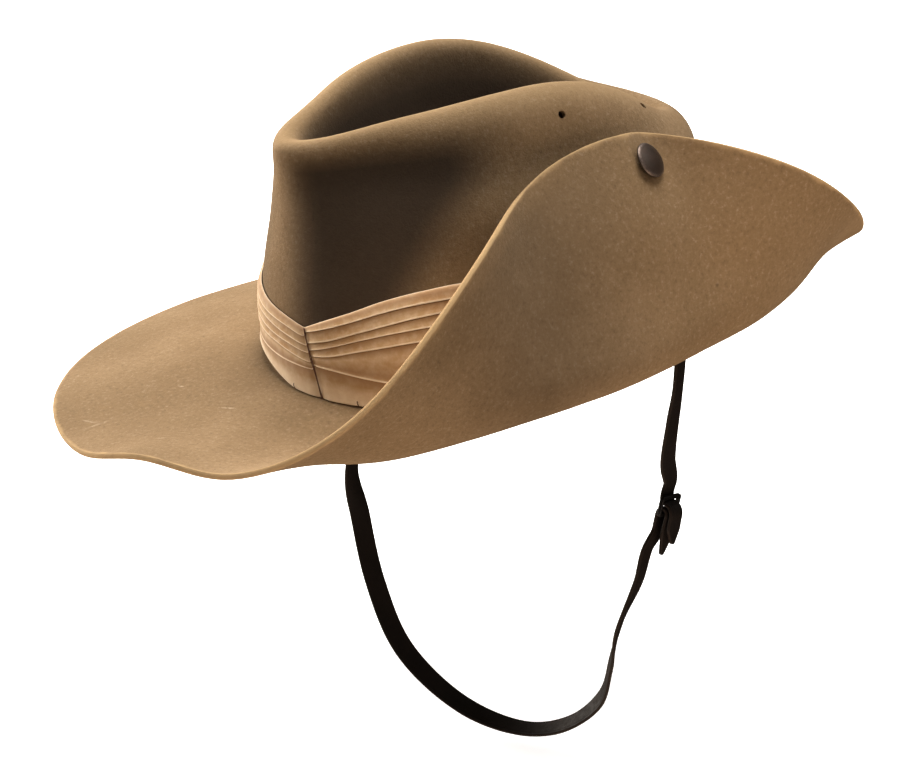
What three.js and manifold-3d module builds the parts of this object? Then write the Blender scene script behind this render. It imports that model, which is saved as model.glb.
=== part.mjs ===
// Slouch hat: a felt hat with a creased crown, a wide brim turned up on the wearer's left and held
// there by a stud, a pleated cloth band and a leather chin strap.
// Millimetres and degrees, +Z up. The hat faces -Y and the wearer's left is +X. The origin is the
// middle of the head opening, at the level of the break, where the crown meets the brim.
// Angles round the hat run from the front (0) by the wearer's left (90) to the back (180).
import * as THREE from 'three';
import { mergeVertices } from 'three/addons/utils/BufferGeometryUtils.js';
import Module from 'manifold-3d';

const wasm = await Module();
wasm.setup();

// Common sizes
const feltThickness = 2.5;
const fitGap = 0.35;
const columnCount = 72;
const roundSides = 16;

// Steps for slopes of the formed surfaces
const angleNudge = 0.5;
const levelNudge = 0.02;

// Crown: one row for each level from the break over the ridge down to the crease floor.
// front, back and side are half sizes of the oval, frontPower and backPower its squareness,
// zFront, zSide and zBack its heights, and dent the share pinched in at the front sides.
const crownLevels = table(
  ['front', 'back', 'side', 'frontPower', 'backPower', 'zFront', 'zSide', 'zBack', 'dent'],
  [
    [102.0, 102.0, 83.0, 2.15, 2.15, 0, 0, 0, 0],
    [101.5, 101.0, 80.5, 2.1, 2.15, 36, 36, 35, 0.02],
    [96.5, 100.5, 76.5, 1.95, 2.15, 70, 73, 77, 0.1],
    [95.0, 93.0, 66.0, 1.8, 2.1, 90, 96, 90, 0.14],
    [95.0, 83.5, 58.0, 1.7, 2.05, 103.5, 117, 88, 0.14],
    [88.0, 75.0, 46.0, 1.65, 2.0, 105, 122, 91.5, 0.12],
    [82.0, 67.0, 40.0, 1.65, 2.0, 98, 107, 86, 0.08],
    [74.0, 60.0, 32.0, 1.7, 2.0, 84, 81, 78, 0],
    [68.0, 54.0, 14.0, 1.7, 2.0, 78, 74, 74, 0],
  ],
);
const dentAngle = 38;
const dentSpread = 20;
const dentDepthShare = 0.25;
const shoulderLevel = 3;
const heightHalvings = 24;

// Brim: one row for each section round the hat. Each section leaves the break at its slope, runs
// straight, then bends up at its radius through its curl, and nods in towards the crown at the top.
const brimSections = table(
  ['angle', 'width', 'slope', 'run', 'radius', 'curl', 'nod'],
  [
    [0, 97, -5.5, 30, 60, 1, 0],
    [14, 91, -6, 26, 55, 13.5, 0],
    [28, 91, -10.5, 24, 46, 23, 0],
    [44, 101, -15, 18, 36, 54.5, 0],
    [60, 113, -12, 12, 26, 89, 6],
    [75, 119, -7, 9, 19, 111, 14],
    [90, 123, -3, 7, 15, 107, 19],
    [105, 122, 3, 6, 15, 99, 22],
    [120, 120, 8, 8, 19, 95, 22],
    [135, 106, 8, 14, 28, 74, 11],
    [150, 90, 6.5, 20, 40, 49, 0],
    [165, 83, 4.5, 26, 46, 16, 0],
    [190, 86, 1, 30, 50, 0, 0],
    [225, 88, -1, 30, 50, 0, 0],
    [270, 90, -4.5, 30, 50, -13, 0],
    [310, 93, -6, 30, 50, -6, 0],
    [340, 98.5, -6, 30, 60, -1, 0],
  ],
);
const nodStart = 0.5;
const nodLength = 0.4;
const profileSteps = 48;

// Rings of the felt: shares of the brim's width from its edge in, then crown level numbers
const brimRings = [1, 0.9, 0.78, 0.65, 0.52, 0.41, 0.31, 0.22, 0.14, 0.06];
const crownRings = [0, 0.5, 1.1, 1.7, 2.3, 2.8, 3.3, 3.75, 4.2, 4.65, 5.1, 5.6, 6.2, 7, 8];

// Punched vents, the same on both sides of the crown
const ventRadius = 1.7;
const vents = table(['angle', 'level'], [[94, 3.74], [131, 3.83]]);
const drillLength = 10;

// Stud through the turned-up brim and the crown behind it. Its axis is square to the brim over the
// seat's angle and share, then pulled towards the back, and its post reaches the crown within the
// searched angles and levels.
const stud = {
  angle: 111.5, share: 0.88, capRadius: 8, capHeight: 2.6, capLift: 1.9, rim: 0.8, postRadius: 2,
  socketRadius: 3, socketSlack: 1.2, backRadius: 4.5, backThickness: 1.2, backSlack: 2.1,
  seatAngle: 6, seatShare: 0.06, domeShares: [0.97, 0.85, 0.62, 0.33],
};
const studPull = new THREE.Vector3(-0.065, 0.13, -0.036);
const studSearch = { angleReach: 12, angleStep: 1, lowLevel: 2, highLevel: 3.2, levelStep: 0.05 };

// Cloth band: heights of its foot, its five pleats and its top edge round the hat, gathered at the seam.
// Each pleat laps over the one below it, and the foot lifts off the brim at the front.
const band = { cloth: 1, pleatStep: 1, stepHeight: 0.5, innerShares: [0.75, 0.5, 0.25] };
const pleatNames = ['pleat1', 'pleat2', 'pleat3', 'pleat4', 'pleat5'];
const bandHeights = table(
  ['angle', 'foot', ...pleatNames, 'top'],
  [
    [16.5, 2.6, 14.6, 18, 21.2, 24.2, 28.5, 31.4],
    [24.5, 2.6, 15.2, 21.8, 25.6, 28.4, 33.6, 36.9],
    [32.5, 2.6, 14.1, 25.3, 29.8, 32.9, 38, 41.8],
    [40.5, 2.6, 12.8, 28.2, 33.3, 36.9, 42.4, 46.8],
    [50.5, 2.6, 11.5, 31.1, 36.5, 41.2, 46.5, 51.3],
    [61.5, 2.6, 10.8, 32.9, 38.7, 43.8, 48.8, 54.4],
    [106, 2.6, 10.5, 33.6, 39.4, 44.7, 50, 56],
    [196, 2.6, 10.5, 32, 38, 43.5, 49, 55],
    [276, 2.6, 11, 28.5, 34.5, 40.5, 46.5, 53],
    [311, 4.5, 11.5, 23, 28.5, 34, 40, 46],
    [336, 8.4, 12, 20.5, 25, 29.5, 34, 39],
    [352, 6.4, 12.2, 19.6, 23.3, 27.7, 31.1, 35.6],
    [360.5, 3.4, 12.5, 19.3, 22.5, 26.5, 30.4, 34.5],
    [368.5, 2.6, 13, 18, 21.8, 25.2, 29.6, 33.3],
  ],
);

// Chin strap: free points of each length between the hat and the buckle. turn is how far the
// strap is twisted, 0 where its flat side faces the front left and 90 where its edge does.
const strap = { width: 10, thickness: 1.6, wallTop: 15, wallFoot: 2, tailTaper: 0.4 };
const strapFacing = new THREE.Vector3(0.81, -0.42, 0.41).normalize();
const longWallAngle = 262;
const longRoute = table(
  ['x', 'y', 'z', 'turn'],
  [
    [-80, 1, -26, 40],
    [-79, -38, -90, 60],
    [-70, -40, -117, 8],
    [-54, -42, -147, 6],
    [-33, -39, -176, 18],
    [-4, -23, -199, 36],
    [24, -5, -204, 56],
    [43, 9, -196, 64],
    [56, 20, -179, 72],
    [63, 22, -157, 86],
    [68, 24, -134, 104],
    [70, 34, -112, 116],
    [70, 39, -97, 122],
  ],
);
const shortWallAngle = 127;
const shortRoute = table(
  ['x', 'y', 'z', 'turn'],
  [[70, 57, -20, 62], [70, 54, -36, 54], [70, 51, -56, 46]],
);

// Buckle: a plain metal loop. Its lower bar carries the long length, which folds over it, and the
// short length threads behind its upper bar and out at the front.
const buckle = {
  width: 15.6, barHeight: 2, depth: 2, slotHeight: 5.8, slotWidth: 11.4, corner: 1.5, cornerSteps: 4,
};
const buckleAt = new THREE.Vector3(70.9, 49.5, -81.2);
const buckleUp = new THREE.Vector3(0, 0.3, 0.954).normalize();
const buckleFace = new THREE.Vector3(0.92, 0.37, 0);
const foldRadius = 2.5;
const foldAngles = [180, 135, 90, 45, 0];
const longApproach = [[-2.5, -10], [-2.5, -4]];
const longTail = [[2.5, -5], [2.6, -12], [2.4, -20]];
const shortThreading = [
  [-2.4, 15], [-2.4, 9.4], [-1.8, 6], [0.35, 4.9], [2.9, 4], [4.6, 1.4], [5, -2.6], [5.6, -8], [6.6, -13],
];
const stepsPerStation = 2.5;

// Tables and curves

function table(columns, rows) {
  return rows.map((row) => Object.fromEntries(columns.map((name, i) => [name, row[i]])));
}

function catmullRom(a, b, c, d, t) {
  const slope = (c - a) * t;
  const square = (2 * a - 5 * b + 4 * c - d) * t * t;
  const cube = (3 * b - a - 3 * c + d) * t * t * t;
  return 0.5 * (2 * b + slope + square + cube);
}

function smoothstep(x) {
  const t = THREE.MathUtils.clamp(x, 0, 1);
  return t * t * (3 - 2 * t);
}

// A row of a table keyed by angle, by a smooth curve that closes round the hat
function rowAtAngle(rows, angle) {
  const first = rows[0].angle;
  const turn = first + THREE.MathUtils.euclideanModulo(angle - first, 360);
  const count = rows.length;
  let i = count - 1;
  while (rows[i].angle > turn) i -= 1;
  const at = (k) => rows[THREE.MathUtils.euclideanModulo(k, count)];
  const angleOf = (k) => at(k).angle + 360 * Math.floor(k / count);
  const span = angleOf(i + 1) - angleOf(i);
  const t = (turn - angleOf(i)) / span;
  const blend = (name) => {
    const before = (at(i + 1)[name] - at(i - 1)[name]) / (angleOf(i + 1) - angleOf(i - 1));
    const after = (at(i + 2)[name] - at(i)[name]) / (angleOf(i + 2) - angleOf(i));
    const value = THREE.MathUtils.lerp(at(i)[name], at(i + 1)[name], smoothstep(t));
    return value + span * (before * (t ** 3 - 2 * t ** 2 + t) + after * (t ** 3 - t ** 2));
  };
  return Object.fromEntries(Object.keys(rows[0]).map((name) => [name, blend(name)]));
}

// The crown

function crownRow(level) {
  const last = crownLevels.length - 1;
  const i = Math.min(Math.floor(level), last - 1);
  const at = (k) => crownLevels[THREE.MathUtils.clamp(k, 0, last)];
  const near = [at(i - 1), at(i), at(i + 1), at(i + 2)];
  const blend = (name) => catmullRom(...near.map((row) => row[name]), level - i);
  return Object.fromEntries(Object.keys(crownLevels[0]).map((name) => [name, blend(name)]));
}

function signedPower(value, power) {
  return Math.sign(value) * Math.abs(value) ** power;
}

function crownPoint(angle, level) {
  const row = crownRow(level);
  const turn = THREE.MathUtils.degToRad(angle);
  const ahead = Math.cos(turn);
  const power = 2 / (ahead >= 0 ? row.frontPower : row.backPower);
  const length = ahead >= 0 ? row.front : row.back;
  const fromFront = Math.abs(THREE.MathUtils.euclideanModulo(angle + 180, 360) - 180);
  const pinch = row.dent * Math.exp(-(((fromFront - dentAngle) / dentSpread) ** 2));
  const lift = (row.zFront - row.zSide) * Math.max(ahead, 0) ** 2;
  const drop = (row.zBack - row.zSide) * Math.max(-ahead, 0) ** 2;
  return new THREE.Vector3(
    row.side * signedPower(Math.sin(turn), power) * (1 - pinch),
    -length * signedPower(ahead, power) * (1 - dentDepthShare * pinch),
    row.zSide + lift + drop,
  );
}

// Unit normal of a surface given by angle and a second value, pointing out of the hat
function normalOf(surface, angle, value, step, angleStep = angleNudge) {
  const across = surface(angle + angleStep, value).sub(surface(angle - angleStep, value));
  const along = surface(angle, value + step).sub(surface(angle, value - step));
  return across.cross(along).normalize();
}

// The level at which the crown's wall reaches a height, below its shoulder
function levelAtHeight(angle, height) {
  let low = 0;
  let high = shoulderLevel;
  for (let i = 0; i < heightHalvings; i += 1) {
    const middle = (low + high) / 2;
    if (crownPoint(angle, middle).z < height) low = middle;
    else high = middle;
  }
  return low;
}

function wallPoint(angle, height, offset) {
  const level = Math.max(levelAtHeight(angle, height), levelNudge);
  const normal = normalOf(crownPoint, angle, level, levelNudge);
  normal.z = 0;
  return crownPoint(angle, level).addScaledVector(normal.normalize(), offset).setZ(height);
}

// The brim

const profileCache = new Map();

function brimProfile(angle) {
  if (profileCache.has(angle)) return profileCache.get(angle);
  const row = rowAtAngle(brimSections, angle);
  const bendLength = Math.max(row.radius * Math.abs(THREE.MathUtils.degToRad(row.curl)), 0.001);
  const stepLength = row.width / profileSteps;
  const points = [{ out: 0, up: 0 }];
  for (let i = 0; i < profileSteps; i += 1) {
    const share = (i + 0.5) / profileSteps;
    const bend = THREE.MathUtils.clamp((share * row.width - row.run) / bendLength, 0, 1);
    const nod = row.nod * smoothstep((share - nodStart) / nodLength);
    const lean = THREE.MathUtils.degToRad(row.slope + row.curl * bend + nod);
    const last = points[i];
    points.push({ out: last.out + Math.cos(lean) * stepLength, up: last.up + Math.sin(lean) * stepLength });
  }
  profileCache.set(angle, points);
  return points;
}

// Level direction along the break line
function breakDirection(angle) {
  return crownPoint(angle + angleNudge, 0).sub(crownPoint(angle - angleNudge, 0)).normalize();
}

function brimPoint(angle, share) {
  const profile = brimProfile(angle);
  const place = THREE.MathUtils.clamp(share, 0, 1) * profileSteps;
  const i = Math.min(Math.floor(place), profileSteps - 1);
  const out = THREE.MathUtils.lerp(profile[i].out, profile[i + 1].out, place - i);
  const up = THREE.MathUtils.lerp(profile[i].up, profile[i + 1].up, place - i);
  const along = breakDirection(angle);
  const outward = new THREE.Vector3(along.y, -along.x, 0);
  return crownPoint(angle, 0).addScaledVector(outward, out).add(new THREE.Vector3(0, 0, up));
}

// Meshes

function meshGeometry(points, triangles) {
  const geometry = new THREE.BufferGeometry();
  geometry.setFromPoints(points);
  geometry.setIndex(triangles.flat());
  geometry.computeVertexNormals();
  return geometry;
}

function toManifold(geometry) {
  const bare = geometry.clone();
  bare.deleteAttribute('normal');
  bare.deleteAttribute('uv');
  const merged = mergeVertices(bare);
  return new wasm.Manifold(new wasm.Mesh({
    numProp: 3,
    vertProperties: Float32Array.from(merged.attributes.position.array),
    triVerts: Uint32Array.from(merged.index.array),
  }));
}

function fromManifold(solid) {
  const mesh = solid.getMesh();
  const geometry = new THREE.BufferGeometry();
  geometry.setAttribute('position', new THREE.Float32BufferAttribute(mesh.vertProperties, 3));
  geometry.setIndex(Array.from(mesh.triVerts));
  geometry.computeVertexNormals();
  return geometry;
}

function quad(a, b, c, d) {
  return [[a, b, c], [a, c, d]];
}

// A closed wall of even thickness round a sheet of rings. The last ring is narrow and is closed
// across its middle, from each column to the column opposite.
function feltWall(rings) {
  const n = columnCount;
  const top = [];
  const bottom = [];
  rings.forEach((ring, i) => ring.forEach((point, j) => {
    const across = ring[(j + 1) % n].clone().sub(ring[(j + n - 1) % n]);
    const inner = rings[Math.min(i + 1, rings.length - 1)][j];
    const outer = rings[Math.max(i - 1, 0)][j];
    const normal = across.cross(inner.clone().sub(outer)).normalize();
    top.push(point.clone().addScaledVector(normal, feltThickness / 2));
    bottom.push(point.clone().addScaledVector(normal, -feltThickness / 2));
  }));
  const under = top.length;
  const faces = [];
  for (let i = 0; i < rings.length - 1; i += 1) {
    for (let j = 0; j < n; j += 1) {
      const k = (j + 1) % n;
      const [a, b, c, d] = [i * n + j, i * n + k, (i + 1) * n + k, (i + 1) * n + j];
      faces.push(...quad(a, b, c, d), ...quad(under + a, under + d, under + c, under + b));
    }
  }
  for (let j = 0; j < n; j += 1) {
    const k = (j + 1) % n;
    faces.push(...quad(j, under + j, under + k, k));
  }
  const floor = (rings.length - 1) * n;
  for (let j = 0; j < n / 2; j += 1) {
    const strip = [j, j + 1, n - j - 1, (n - j) % n].map((k) => floor + k);
    const whole = quad(...strip).filter((face) => new Set(face).size === 3);
    faces.push(...whole);
    faces.push(...whole.map(([a, b, c]) => [under + a, under + c, under + b]));
  }
  return meshGeometry([...top, ...bottom], faces);
}

// A closed loop of profiles, one for each column round the hat
function profileLoop(profiles) {
  const size = profiles[0].length;
  const faces = [];
  profiles.forEach((profile, j) => profile.forEach((point, k) => {
    const next = (j + 1) % profiles.length;
    const above = (k + 1) % size;
    faces.push(...quad(j * size + k, next * size + k, next * size + above, j * size + above));
  }));
  return meshGeometry(profiles.flat(), faces);
}

// A flat strap through stations that each give a point, the direction across it and its share of width
function ribbon(stations) {
  const curve = new THREE.CatmullRomCurve3(stations.map((s) => s.at), false, 'centripetal');
  const spans = stations.length - 1;
  const steps = Math.round(spans * stepsPerStation);
  const points = [];
  for (let i = 0; i <= steps; i += 1) {
    const place = (i / steps) * spans;
    const k = Math.min(Math.floor(place), spans - 1);
    const tangent = curve.getTangent(i / steps);
    const across = stations[k].across.clone().lerp(stations[k + 1].across, place - k);
    across.addScaledVector(tangent, -across.dot(tangent)).normalize();
    const normal = tangent.clone().cross(across);
    const wide = THREE.MathUtils.lerp(stations[k].wide, stations[k + 1].wide, place - k);
    for (const [side, face] of [[-1, -1], [1, -1], [1, 1], [-1, 1]]) {
      const corner = curve.getPoint(i / steps).addScaledVector(across, 0.5 * side * wide * strap.width);
      points.push(corner.addScaledVector(normal, face * 0.5 * strap.thickness));
    }
  }
  const faces = [...quad(0, 3, 2, 1)];
  for (let i = 0; i < steps; i += 1) {
    for (let k = 0; k < 4; k += 1) {
      const next = (k + 1) % 4;
      faces.push(...quad(4 * i + k, 4 * i + next, 4 * i + 4 + next, 4 * i + 4 + k));
    }
  }
  const end = 4 * steps;
  faces.push(...quad(end, end + 1, end + 2, end + 3));
  return meshGeometry(points, faces);
}

function rodAlong(point, axis, radius, length) {
  const rod = new THREE.CylinderGeometry(radius, radius, length, roundSides);
  rod.applyQuaternion(new THREE.Quaternion().setFromUnitVectors(new THREE.Vector3(0, 1, 0), axis));
  return toManifold(rod.translate(point.x, point.y, point.z));
}

// Where the stud sits: its point on the brim, its axis away from the crown and how far off the crown is
function studSeat() {
  const at = brimPoint(stud.angle, stud.share);
  const square = normalOf(brimPoint, stud.angle, stud.share, stud.seatShare, stud.seatAngle);
  const axis = square.add(studPull).normalize();
  let reach = Infinity;
  const { angleReach, angleStep, lowLevel, highLevel, levelStep } = studSearch;
  for (let turn = -angleReach; turn <= angleReach; turn += angleStep) {
    for (let level = lowLevel; level <= highLevel; level += levelStep) {
      const toCrown = at.clone().sub(crownPoint(stud.angle + turn, level));
      const along = toCrown.dot(axis);
      const aside = Math.sqrt(Math.max(toCrown.lengthSq() - along * along, 0));
      if (aside < stud.postRadius) reach = Math.min(reach, along);
    }
  }
  return { at, axis, reach };
}

// Pieces

function feltBody(seat) {
  const angles = Array.from({ length: columnCount }, (_, j) => (360 / columnCount) * j);
  const brim = brimRings.map((share) => angles.map((angle) => brimPoint(angle, share)));
  const crown = crownRings.map((level) => angles.map((angle) => crownPoint(angle, level)));
  const holes = vents.flatMap(({ angle, level }) => [angle, 360 - angle].map((side) => {
    const normal = normalOf(crownPoint, side, level, levelNudge);
    return rodAlong(crownPoint(side, level), normal, ventRadius, drillLength);
  }));
  const postHole = seat.at.clone().addScaledVector(seat.axis, -seat.reach / 2);
  holes.push(rodAlong(postHole, seat.axis, stud.postRadius + fitGap, seat.reach + drillLength));
  const wall = toManifold(feltWall([...brim, ...crown]));
  return fromManifold(holes.reduce((solid, hole) => solid.subtract(hole), wall));
}

function puggaree() {
  const inner = feltThickness / 2 + fitGap;
  const profiles = [];
  for (let j = 0; j < columnCount; j += 1) {
    const angle = (360 / columnCount) * j;
    const heights = rowAtAngle(bandHeights, angle);
    const rise = heights.top - heights.foot;
    const cloth = inner + band.cloth;
    const profile = [[heights.foot, inner], [heights.foot, cloth + band.pleatStep / 2]];
    pleatNames.forEach((name) => {
      profile.push([heights[name], cloth], [heights[name] + band.stepHeight, cloth + band.pleatStep]);
    });
    profile.push([heights.top, cloth], [heights.top, inner]);
    profile.push(...band.innerShares.map((share) => [heights.foot + rise * share, inner]));
    profiles.push(profile.map(([z, offset]) => wallPoint(angle, z, offset)));
  }
  return profileLoop(profiles);
}

function pressStud(seat) {
  const face = feltThickness / 2 + stud.capLift;
  const crownOuter = -(seat.reach - feltThickness / 2);
  const crownInner = -(seat.reach + feltThickness / 2);
  const rimTop = face + stud.rim;
  const dome = stud.domeShares.map((share) => new THREE.Vector2(
    stud.capRadius * share,
    rimTop + (stud.capHeight - stud.rim) * Math.sqrt(1 - share * share),
  ));
  const outline = [
    [0, crownInner - stud.backSlack - stud.backThickness],
    [stud.backRadius, crownInner - stud.backSlack - stud.backThickness],
    [stud.backRadius, crownInner - stud.backSlack],
    [stud.postRadius, crownInner - stud.backSlack],
    [stud.postRadius, crownOuter + stud.socketSlack],
    [stud.socketRadius, crownOuter + stud.socketSlack],
    [stud.socketRadius, -feltThickness / 2 - stud.socketSlack],
    [stud.postRadius, -feltThickness / 2 - stud.socketSlack],
    [stud.postRadius, face],
    [stud.capRadius, face],
    [stud.capRadius, rimTop],
  ].map(([radius, along]) => new THREE.Vector2(radius, along));
  const top = new THREE.Vector2(0, rimTop + stud.capHeight - stud.rim);
  const lathe = new THREE.LatheGeometry([...outline, ...dome, top], roundSides);
  return fromManifold(toManifold(lathe));
}

// Strap stations

function station(at, across, wide = 1) {
  return { at, across, wide };
}

function wallStations(angle) {
  const inward = -(feltThickness / 2 + fitGap + strap.thickness / 2);
  const heights = [strap.wallTop, strap.wallFoot];
  return heights.map((height) => station(wallPoint(angle, height, inward), breakDirection(angle)));
}

function routeStations(route) {
  const points = route.map((row) => new THREE.Vector3(row.x, row.y, row.z));
  return route.map((row, i) => {
    const ahead = points[Math.min(i + 1, points.length - 1)];
    const tangent = ahead.clone().sub(points[Math.max(i - 1, 0)]).normalize();
    const facing = strapFacing.clone().addScaledVector(tangent, -strapFacing.dot(tangent)).normalize();
    const side = tangent.clone().cross(facing);
    const turn = THREE.MathUtils.degToRad(row.turn);
    const across = side.multiplyScalar(Math.cos(turn)).addScaledVector(facing, Math.sin(turn));
    return station(points[i], across);
  });
}

function buckleFrame() {
  const face = buckleFace.clone().addScaledVector(buckleUp, -buckleFace.dot(buckleUp)).normalize();
  return { face, across: buckleUp.clone().cross(face) };
}

// Stations in the buckle's own plane, ending in a tapered tail
function buckleStations(offsets, frame) {
  return offsets.map(([out, up], i) => {
    const at = buckleAt.clone().addScaledVector(frame.face, out).addScaledVector(buckleUp, up);
    const last = i === offsets.length - 1;
    return station(at, frame.across.clone(), last ? strap.tailTaper : 1);
  });
}

// Turns each across direction to the side that its neighbour before it uses
function untwisted(stations) {
  stations.forEach((s, i) => {
    if (i > 0 && s.across.dot(stations[i - 1].across) < 0) s.across.negate();
  });
  return stations;
}

function longStrap(frame) {
  const fold = foldAngles.map((angle) => {
    const turn = THREE.MathUtils.degToRad(angle);
    return [foldRadius * Math.cos(turn), foldRadius * Math.sin(turn)];
  });
  return ribbon(untwisted([
    ...wallStations(longWallAngle),
    ...routeStations(longRoute),
    ...buckleStations([...longApproach, ...fold, ...longTail], frame),
  ]));
}

function shortStrap(frame) {
  return ribbon(untwisted([
    ...wallStations(shortWallAngle),
    ...routeStations(shortRoute),
    ...buckleStations(shortThreading, frame),
  ]));
}

function strapBuckle() {
  const half = buckle.width / 2;
  const low = -buckle.barHeight / 2;
  const high = 1.5 * buckle.barHeight + buckle.slotHeight;
  const outline = new THREE.Shape();
  outline.moveTo(-half + buckle.corner, low);
  outline.lineTo(half - buckle.corner, low);
  outline.quadraticCurveTo(half, low, half, low + buckle.corner);
  outline.lineTo(half, high - buckle.corner);
  outline.quadraticCurveTo(half, high, half - buckle.corner, high);
  outline.lineTo(-half + buckle.corner, high);
  outline.quadraticCurveTo(-half, high, -half, high - buckle.corner);
  outline.lineTo(-half, low + buckle.corner);
  outline.quadraticCurveTo(-half, low, -half + buckle.corner, low);
  const slot = new THREE.Path();
  const slotLow = buckle.barHeight / 2;
  const slotHigh = slotLow + buckle.slotHeight;
  slot.moveTo(-buckle.slotWidth / 2, slotLow);
  slot.lineTo(-buckle.slotWidth / 2, slotHigh);
  slot.lineTo(buckle.slotWidth / 2, slotHigh);
  slot.lineTo(buckle.slotWidth / 2, slotLow);
  outline.holes.push(slot);
  const options = { depth: buckle.depth, bevelEnabled: false, curveSegments: buckle.cornerSteps };
  return new THREE.ExtrudeGeometry(outline, options).translate(0, 0, -buckle.depth / 2);
}

// Materials

function finish(color, roughness, metalness) {
  return new THREE.MeshStandardMaterial({ color, roughness, metalness });
}

const felt = finish(0x9c7f5a, 0.95, 0);
const cloth = finish(0xc9a97e, 0.9, 0);
const leather = finish(0x2a201c, 0.6, 0);
const agedMetal = finish(0x4a3a32, 0.4, 0.8);
const blackMetal = finish(0x24201e, 0.45, 0.7);

// The hat

const hat = new THREE.Group();

function addPiece(name, geometry, material) {
  const piece = new THREE.Mesh(geometry, material);
  piece.name = name;
  hat.add(piece);
  return piece;
}

const seat = studSeat();
const frame = buckleFrame();
addPiece('felt_body', feltBody(seat), felt);
addPiece('puggaree', puggaree(), cloth);
const studPiece = addPiece('press_stud', pressStud(seat), agedMetal);
studPiece.position.copy(seat.at);
studPiece.quaternion.setFromUnitVectors(new THREE.Vector3(0, 1, 0), seat.axis);
addPiece('chin_strap_long', longStrap(frame), leather);
addPiece('chin_strap_short', shortStrap(frame), leather);
const bucklePiece = addPiece('strap_buckle', strapBuckle(), blackMetal);
bucklePiece.position.copy(buckleAt);
const buckleTurn = new THREE.Matrix4().makeBasis(frame.across, buckleUp, frame.face);
bucklePiece.quaternion.setFromRotationMatrix(buckleTurn);

export default hat;
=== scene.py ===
"""Slouch hat: the finished look of every piece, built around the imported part.

The hat faces -Y, the wearer's left is +X and +Z is up. The origin is the middle of the head opening at
the break, where the crown meets the brim. Lengths are metres; the tables below are in millimetres and
degrees, as a hatter would write them. Angles round the hat run from the front (0) by the wearer's left
(90) to the back (180).
"""
import math

import bmesh
import bpy
import numpy as np
from bpy.props import FloatProperty, FloatVectorProperty, IntProperty, PointerProperty
from mathutils import Matrix, Vector, noise


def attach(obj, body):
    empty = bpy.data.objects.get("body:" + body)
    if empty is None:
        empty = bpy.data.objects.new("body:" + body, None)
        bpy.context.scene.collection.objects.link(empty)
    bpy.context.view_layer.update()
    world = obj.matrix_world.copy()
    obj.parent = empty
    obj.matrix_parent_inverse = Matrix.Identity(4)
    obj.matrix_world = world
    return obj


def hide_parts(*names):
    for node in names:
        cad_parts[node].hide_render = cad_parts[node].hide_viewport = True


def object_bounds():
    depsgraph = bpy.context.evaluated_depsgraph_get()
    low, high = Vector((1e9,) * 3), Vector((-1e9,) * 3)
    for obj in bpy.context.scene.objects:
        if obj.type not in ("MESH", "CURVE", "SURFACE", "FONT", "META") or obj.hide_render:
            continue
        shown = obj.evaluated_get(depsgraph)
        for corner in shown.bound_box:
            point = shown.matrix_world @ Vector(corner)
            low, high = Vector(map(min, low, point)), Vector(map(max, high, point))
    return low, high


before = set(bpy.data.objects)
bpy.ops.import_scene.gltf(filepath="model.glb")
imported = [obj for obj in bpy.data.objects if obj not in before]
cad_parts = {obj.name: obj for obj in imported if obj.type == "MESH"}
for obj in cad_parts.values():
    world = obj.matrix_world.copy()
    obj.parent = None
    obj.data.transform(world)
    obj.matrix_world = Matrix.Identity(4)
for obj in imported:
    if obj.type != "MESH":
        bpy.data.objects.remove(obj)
cad_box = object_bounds()

bl_info = {
    "name": "Slouch hat",
    "version": (1, 0, 0),
    "blender": (4, 5, 0),
    "location": "View3D > Sidebar > Hat",
    "description": "Builds a felt slouch hat with its band, stud, chin strap and studio stage",
    "category": "Object",
}

MM = 0.001
BODY = "root"

# Crown levels from the break over the ridge to the crease floor: half sizes of the oval in front, behind
# and at the side, squareness in front and behind, heights in front, at the side and behind, and the pinch
CROWN_COLUMNS = (
    "front", "back", "side", "front_power", "back_power", "z_front", "z_side", "z_back", "dent",
)
CROWN_LEVELS = (
    (102.0, 102.0, 83.0, 2.15, 2.15, 0, 0, 0, 0),
    (101.5, 101.0, 80.5, 2.1, 2.15, 36, 36, 35, 0.02),
    (96.5, 100.5, 76.5, 1.95, 2.15, 70, 73, 77, 0.1),
    (95.0, 93.0, 66.0, 1.8, 2.1, 90, 96, 90, 0.14),
    (95.0, 83.5, 58.0, 1.7, 2.05, 103.5, 117, 88, 0.14),
    (88.0, 75.0, 46.0, 1.65, 2.0, 105, 122, 91.5, 0.12),
    (82.0, 67.0, 40.0, 1.65, 2.0, 98, 107, 86, 0.08),
    (74.0, 60.0, 32.0, 1.7, 2.0, 84, 81, 78, 0),
    (68.0, 54.0, 14.0, 1.7, 2.0, 78, 74, 74, 0),
)
DENT_ANGLE = 38
DENT_SPREAD = 20
DENT_DEPTH_SHARE = 0.25

# Brim sections: width, slope at the break, straight run, bend radius, curl and the nod at the top
BRIM_COLUMNS = ("angle", "width", "slope", "run", "radius", "curl", "nod")
BRIM_SECTIONS = (
    (0, 97, -5.5, 30, 60, 1, 0),
    (14, 91, -6, 26, 55, 13.5, 0),
    (28, 91, -10.5, 24, 46, 23, 0),
    (44, 101, -15, 18, 36, 54.5, 0),
    (60, 113, -12, 12, 26, 89, 6),
    (75, 119, -7, 9, 19, 111, 14),
    (90, 123, -3, 7, 15, 107, 19),
    (105, 122, 3, 6, 15, 99, 22),
    (120, 120, 8, 8, 19, 95, 22),
    (135, 106, 8, 14, 28, 74, 11),
    (150, 90, 6.5, 20, 40, 49, 0),
    (165, 83, 4.5, 26, 46, 16, 0),
    (190, 86, 1, 30, 50, 0, 0),
    (225, 88, -1, 30, 50, 0, 0),
    (270, 90, -4.5, 30, 50, -13, 0),
    (310, 93, -6, 30, 50, -6, 0),
    (340, 98.5, -6, 30, 60, -1, 0),
)
NOD_START = 0.5
NOD_LENGTH = 0.4
PROFILE_STEPS = 48
LEAST_BEND = 0.001

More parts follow.
